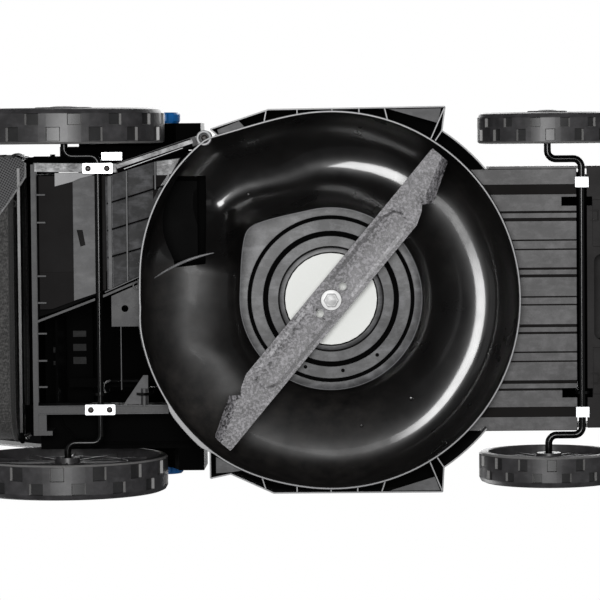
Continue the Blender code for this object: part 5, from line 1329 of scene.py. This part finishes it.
def make_chassis_trim():
    """Teeth, thin walls, a gusset, a boss and rail faces that the plain frame leaves out."""
    teeth = [block(-0.3290, -0.3185, y - 0.0010, y + 0.0010, 0.1085, 0.1165) for y in TEETH_Y]
    teeth.append(block(-0.3296, -0.3283, -0.1470, 0.1150, 0.1085, 0.1165))
    chassis_part("rear_teeth", teeth, "chassis", edge=0.0002)
    walls = [prism(wall_run([(-0.2355, 0.0301), (-0.2355, 0.1015)], 0.0012), 0.1090, 0.1180),
             prism([(-0.2336, 0.1180), (-0.2056, 0.1180), (-0.2056, 0.0850), (-0.2110, 0.0850)],
                   0.1090, 0.1105)]
    chassis_part("rear_gusset", walls, "scuffed", edge=0.0003)
    boss = turned([(0.0035, 0.1030), (0.0048, 0.1030), (0.0051, 0.1034), (0.0051, 0.1150),
                   (0.0035, 0.1150)], (-0.2167, -0.0161), "z", 32)
    chassis_part("floor_boss", [boss], "chassis")
    for name, finish, start, stop, width, low, high, edge in RAIL_FACES:
        chassis_part(name, [prism(wall_run([start, stop], width), low, high)], finish, edge=edge)
    lips = [block(-0.3290, -0.1870, y - 0.0007, y + 0.0007, 0.1058, 0.1069) for y in (0.1190, 0.1278)]
    chassis_part("rail_lips_left", lips, "scuffed", edge=0.0003)


# Grey patches of painted light under the hood's vents
# x from and to, y from and to
LIT_VENT_PATCHES = ((-0.2974, -0.2823, 0.0414, 0.0484), (-0.2974, -0.2823, 0.0566, 0.0647),
           (-0.2974, -0.2823, 0.0717, 0.0799), (-0.3205, -0.3100, 0.0600, 0.0665),
           (-0.3205, -0.3100, 0.0760, 0.0810))


def make_lit_vent_patches():
    """Grey bars under the rear of the hood: painted light, the daylight seen through its vents."""
    bars = []
    for x0, x1, y0, y1 in LIT_VENT_PATCHES:
        bars.append(loft([[(x, y0, 0.2230), (x, y1, 0.2245), (x, y1, 0.2260), (x, y0, 0.2245)]
                          for x in (x0, x1)]))
    piece("hood_lit_vent_patches", bars, "vent_glow", "chassis", "hood_plastic")


def make_rear_shade_plates():
    """Black plates up inside the rear of the mower that close the view to its outside: painted shade."""
    plates = [block(*sides, z, z + 0.0020) for *sides, z in SHADE_PLATES]
    chassis_part("rear_shade_plates", plates, "shade")
    flanges = [block(-0.3520, -0.3385, near, far, 0.2000, 0.2020)
               for near, far in ((0.1250, 0.1600), (-0.1600, -0.1380))]
    bag_part("bag_mouth_shade_plates", flanges, "shade")


def make_clamps():
    """Plates and screws that hold the rear axle rod."""
    for word, centre in (("right", -0.1471), ("left", 0.1234)):
        outline = rounded(0.0171, 0.0060, 0.0016, (-0.2595, centre))
        piece("rod_plate_" + word, [prism(outline, 0.1047, 0.1067)], "zinc", "chassis",
              "bright_steel", ("rear_clamp_" + word,), edge=0.0003)
        for number, x in enumerate((-0.2700, -0.2490)):
            make_screw(f"plate_screw_{word}_{number}", (x, centre, 0.1027), 0.0034, 25.0 + 40.0 * number)


# Bag, flap and what shows of them from below

MOUTH_X = -0.348
BAG_TAIL_X = -0.800
BAG_HALF = 0.162
CORNER_NET = ((-0.3704, -0.1600), (-0.3460, -0.1600), (-0.3400, -0.1540), (-0.3400, -0.1385),
              (-0.3570, -0.1133), (-0.3704, -0.0954))


def bag_top(x):
    return along_stations(((BAG_TAIL_X, 0.350), (-0.770, 0.370), (-0.720, 0.384), (-0.600, 0.394),
                           (-0.460, 0.388), (-0.432, 0.378), (-0.352, 0.298), (MOUTH_X, 0.294)), x)


def bag_share(x):
    return max(0.0, min(1.0, (MOUTH_X - x) / (MOUTH_X - BAG_TAIL_X)))


def bag_ring(x, inset, count=72):
    """A rounded section of the bag: taut at its seams, sagging and pulled in between them."""
    share = bag_share(x)
    half = mix(BAG_HALF, 0.150, ease(share)) - inset
    sag = 0.010 * math.sin(math.pi * share)
    low = mix(0.1060, 0.1250, share) - sag + inset
    high = bag_top(x) - 0.0052 - inset
    middle = (low + high) / 2.0
    tall = (high - low) / 2.0
    ring = []
    for i in range(count):
        angle = 2.0 * math.pi * (i + 0.5) / count
        c = math.cos(angle)
        s = math.sin(angle)
        y = half * math.copysign(abs(c) ** 0.42, c)
        z = middle + tall * math.copysign(abs(s) ** 0.42, s)
        slack = math.sin(math.pi * share) * abs(c) ** 6
        fold = math.sin(23.0 * x + 31.0 * z) * math.sin(17.0 * z - 11.0 * x)
        y -= math.copysign(slack * (0.0030 + 0.0022 * fold), c)
        if s < 0.0:
            z += 0.0016 * math.sin(41.0 * x + 9.0 * y) * math.sin(math.pi * share) * abs(s) ** 3
        ring.append((x, y, z))
    return ring


def make_bag():
    """The fabric shell with its piping, side mesh and seams."""
    stations = [mix(MOUTH_X - 0.008, BAG_TAIL_X, i / 40.0) for i in range(41)]
    outer = [bag_ring(x, 0.0) for x in stations]
    tail = [(x + 0.003, y, z) for x, y, z in bag_ring(BAG_TAIL_X, 0.003)]
    inner = [bag_ring(x, 0.003) for x in stations[:-1]]
    shell = bag_part("bag_shell", [loft(outer[::-1] + inner + [tail])], "cloth", ("bag_fabric",), crease=60.0)
    finish_faces(shell, "mesh", in_mesh_panel)
    rims = [bar(bag_ring(x, 0.0005, 96), radius, 10, closed=True)
            for x, radius in ((MOUTH_X - 0.0095, 0.0032), (BAG_TAIL_X + 0.0045, 0.0026))]
    bag_part("bag_piping", rims, "piping", crease=60.0)
    seams = [bar([seam_point(x, side, lift) for x in stations[1:-1]], 0.0011, 6)
             for side in (-1, 1) for lift in (0.34, 0.80)]
    bag_part("bag_seams", seams, "piping", crease=60.0)


def seam_point(x, side, lift):
    """The place of a side seam at x, at this share of the bag's height."""
    ring = bag_ring(x, -0.0008, 96)
    low = min(point[2] for point in ring)
    high = max(point[2] for point in ring)
    want = mix(low, high, lift)
    near = min((point for point in ring if point[1] * side > 0.0), key=lambda point: abs(point[2] - want))
    return (x, near[1], want)


def make_bag_corner():
    """The net at the mouth's right corner with its pale binding and a black ring."""
    patch = bag_part("bag_corner_net", [prism(CORNER_NET, 0.1045, 0.1053)], "mesh")
    hem = [(x, y, 0.1047) for x, y in CORNER_NET[2:]]
    bag_part("bag_corner_binding", [bar(hem, 0.0011, 8)], "binding")
    ring = [(x, y, 0.1040) for x, y in arc(-0.3540, -0.1085, 0.0033, 0.0, 345.0, 24)]
    bag_part("bag_corner_ring", [bar(ring, 0.0007, 8, closed=True)], "piping")


def in_mesh_panel(centre, up):
    """The bag's sides are mesh between the lower seam and the upper one."""
    share = bag_share(centre.x - BLADE_X)
    return abs(up) < 0.45 and 0.04 < share < 0.96 and 0.175 < centre.z < 0.325


# Light, floor and camera

MOWER_MIDDLE = (BLADE_X, 0.0, 0.08)
SOFT_LIGHTS = (
    # name, place, size, watts
    ("soft_round_camera", (0.10, -0.38, -3.6), (1.5, 1.25), 112.0),
    ("soft_left", (BLADE_X - 1.9, -0.3, -1.2), (1.3, 1.9), 2.5),
    ("soft_right", (BLADE_X + 1.9, 0.1, -1.1), (1.3, 1.9), 2.5),
    ("soft_over", (BLADE_X + 0.4, -0.8, 2.6), (2.2, 2.2), 60.0),
    ("soft_over_rear", (BLADE_X - 1.8, 1.4, 2.0), (1.6, 1.6), 35.0))


def make_light(name, at, size, power):
    data = bpy.data.lights.new(name, "AREA")
    data.shape = "RECTANGLE"
    data.size, data.size_y = size
    data.energy = power
    item = set_out(name, data)
    item.location = at
    item.rotation_euler = (Vector(MOWER_MIDDLE) - Vector(at)).to_track_quat("-Z", "Y").to_euler()


def make_world():
    """White behind the object for the camera, a soft grey studio for everything else."""
    world = bpy.data.worlds.new("studio")
    bpy.context.scene.world = world
    studio = Board(world, "Background", "World Output")
    studio.set(Color=(0.80, 0.82, 0.85, 1.0), Strength=0.12)
    white = studio.node("ShaderNodeBackground", None, {"Color": (1.0, 1.0, 1.0, 1.0), "Strength": 1.0})
    studio.show_mix(studio.node("ShaderNodeLightPath").out("Is Camera Ray"), white.out())


FLOOR_REACH = 6.0
FLOOR_Z = -0.0008


def make_floor():
    """A pale floor that is seen, with the mower's shadow, only from above."""
    mesh = bpy.data.meshes.new("floor")
    corners = [(x * FLOOR_REACH, y * FLOOR_REACH, FLOOR_Z) for x, y in ((-1, -1), (1, -1), (1, 1), (-1, 1))]
    mesh.from_pydata(corners, [], [(0, 1, 2, 3)])
    floor = set_out("floor", mesh)
    recipe = Recipe("floor_pale")
    recipe.set(Base_Color=(0.86, 0.86, 0.86, 1.0), Roughness=0.9)
    clear = recipe.node("ShaderNodeBsdfTransparent")
    path = recipe.node("ShaderNodeLightPath").out("Is Camera Ray")
    back = recipe.node("ShaderNodeNewGeometry").out("Backfacing")
    recipe.show_mix(1.0 - path * (1.0 - back), clear.out())
    mesh.materials.append(recipe.material)


CAMERA_AT = (BLADE_X - 0.0345, -0.177, 0.045 - 3.5)
CAMERA_AIM = (BLADE_X - 0.0345, -0.001, 0.045)
CAMERA_LENS = 191.1
CAMERA_ROLL = math.radians(0.5)


def make_camera():
    """The photograph's view: from under the mower, its right side up in the frame."""
    data = bpy.data.cameras.new("camera")
    data.lens = CAMERA_LENS
    data.sensor_width = 36.0
    camera = set_out("camera", data)
    look = (Vector(CAMERA_AIM) - Vector(CAMERA_AT)).normalized()
    up = Vector((math.sin(CAMERA_ROLL), -math.cos(CAMERA_ROLL), 0.0))
    right = look.cross(up).normalized()
    up = right.cross(look).normalized()
    rows = [(right[i], up[i], -look[i], CAMERA_AT[i]) for i in range(3)]
    camera.matrix_world = Matrix((*rows, (0.0, 0.0, 0.0, 1.0)))
    bpy.context.scene.camera = camera


def make_studio():
    """The floor, the camera and soft lights: one large round the camera, weaker ones elsewhere."""
    make_world()
    make_floor()
    make_camera()
    for row in SOFT_LIGHTS:
        make_light(*row)
    bpy.context.scene.view_settings.view_transform = "Standard"


dress_solids()
make_deck()
make_front_panel()
make_blade()
make_wheels()
make_rods()
make_chute_floor()
make_chassis_trim()
make_lit_vent_patches()
make_rear_shade_plates()
make_clamps()
make_bag()
make_bag_corner()
make_studio()
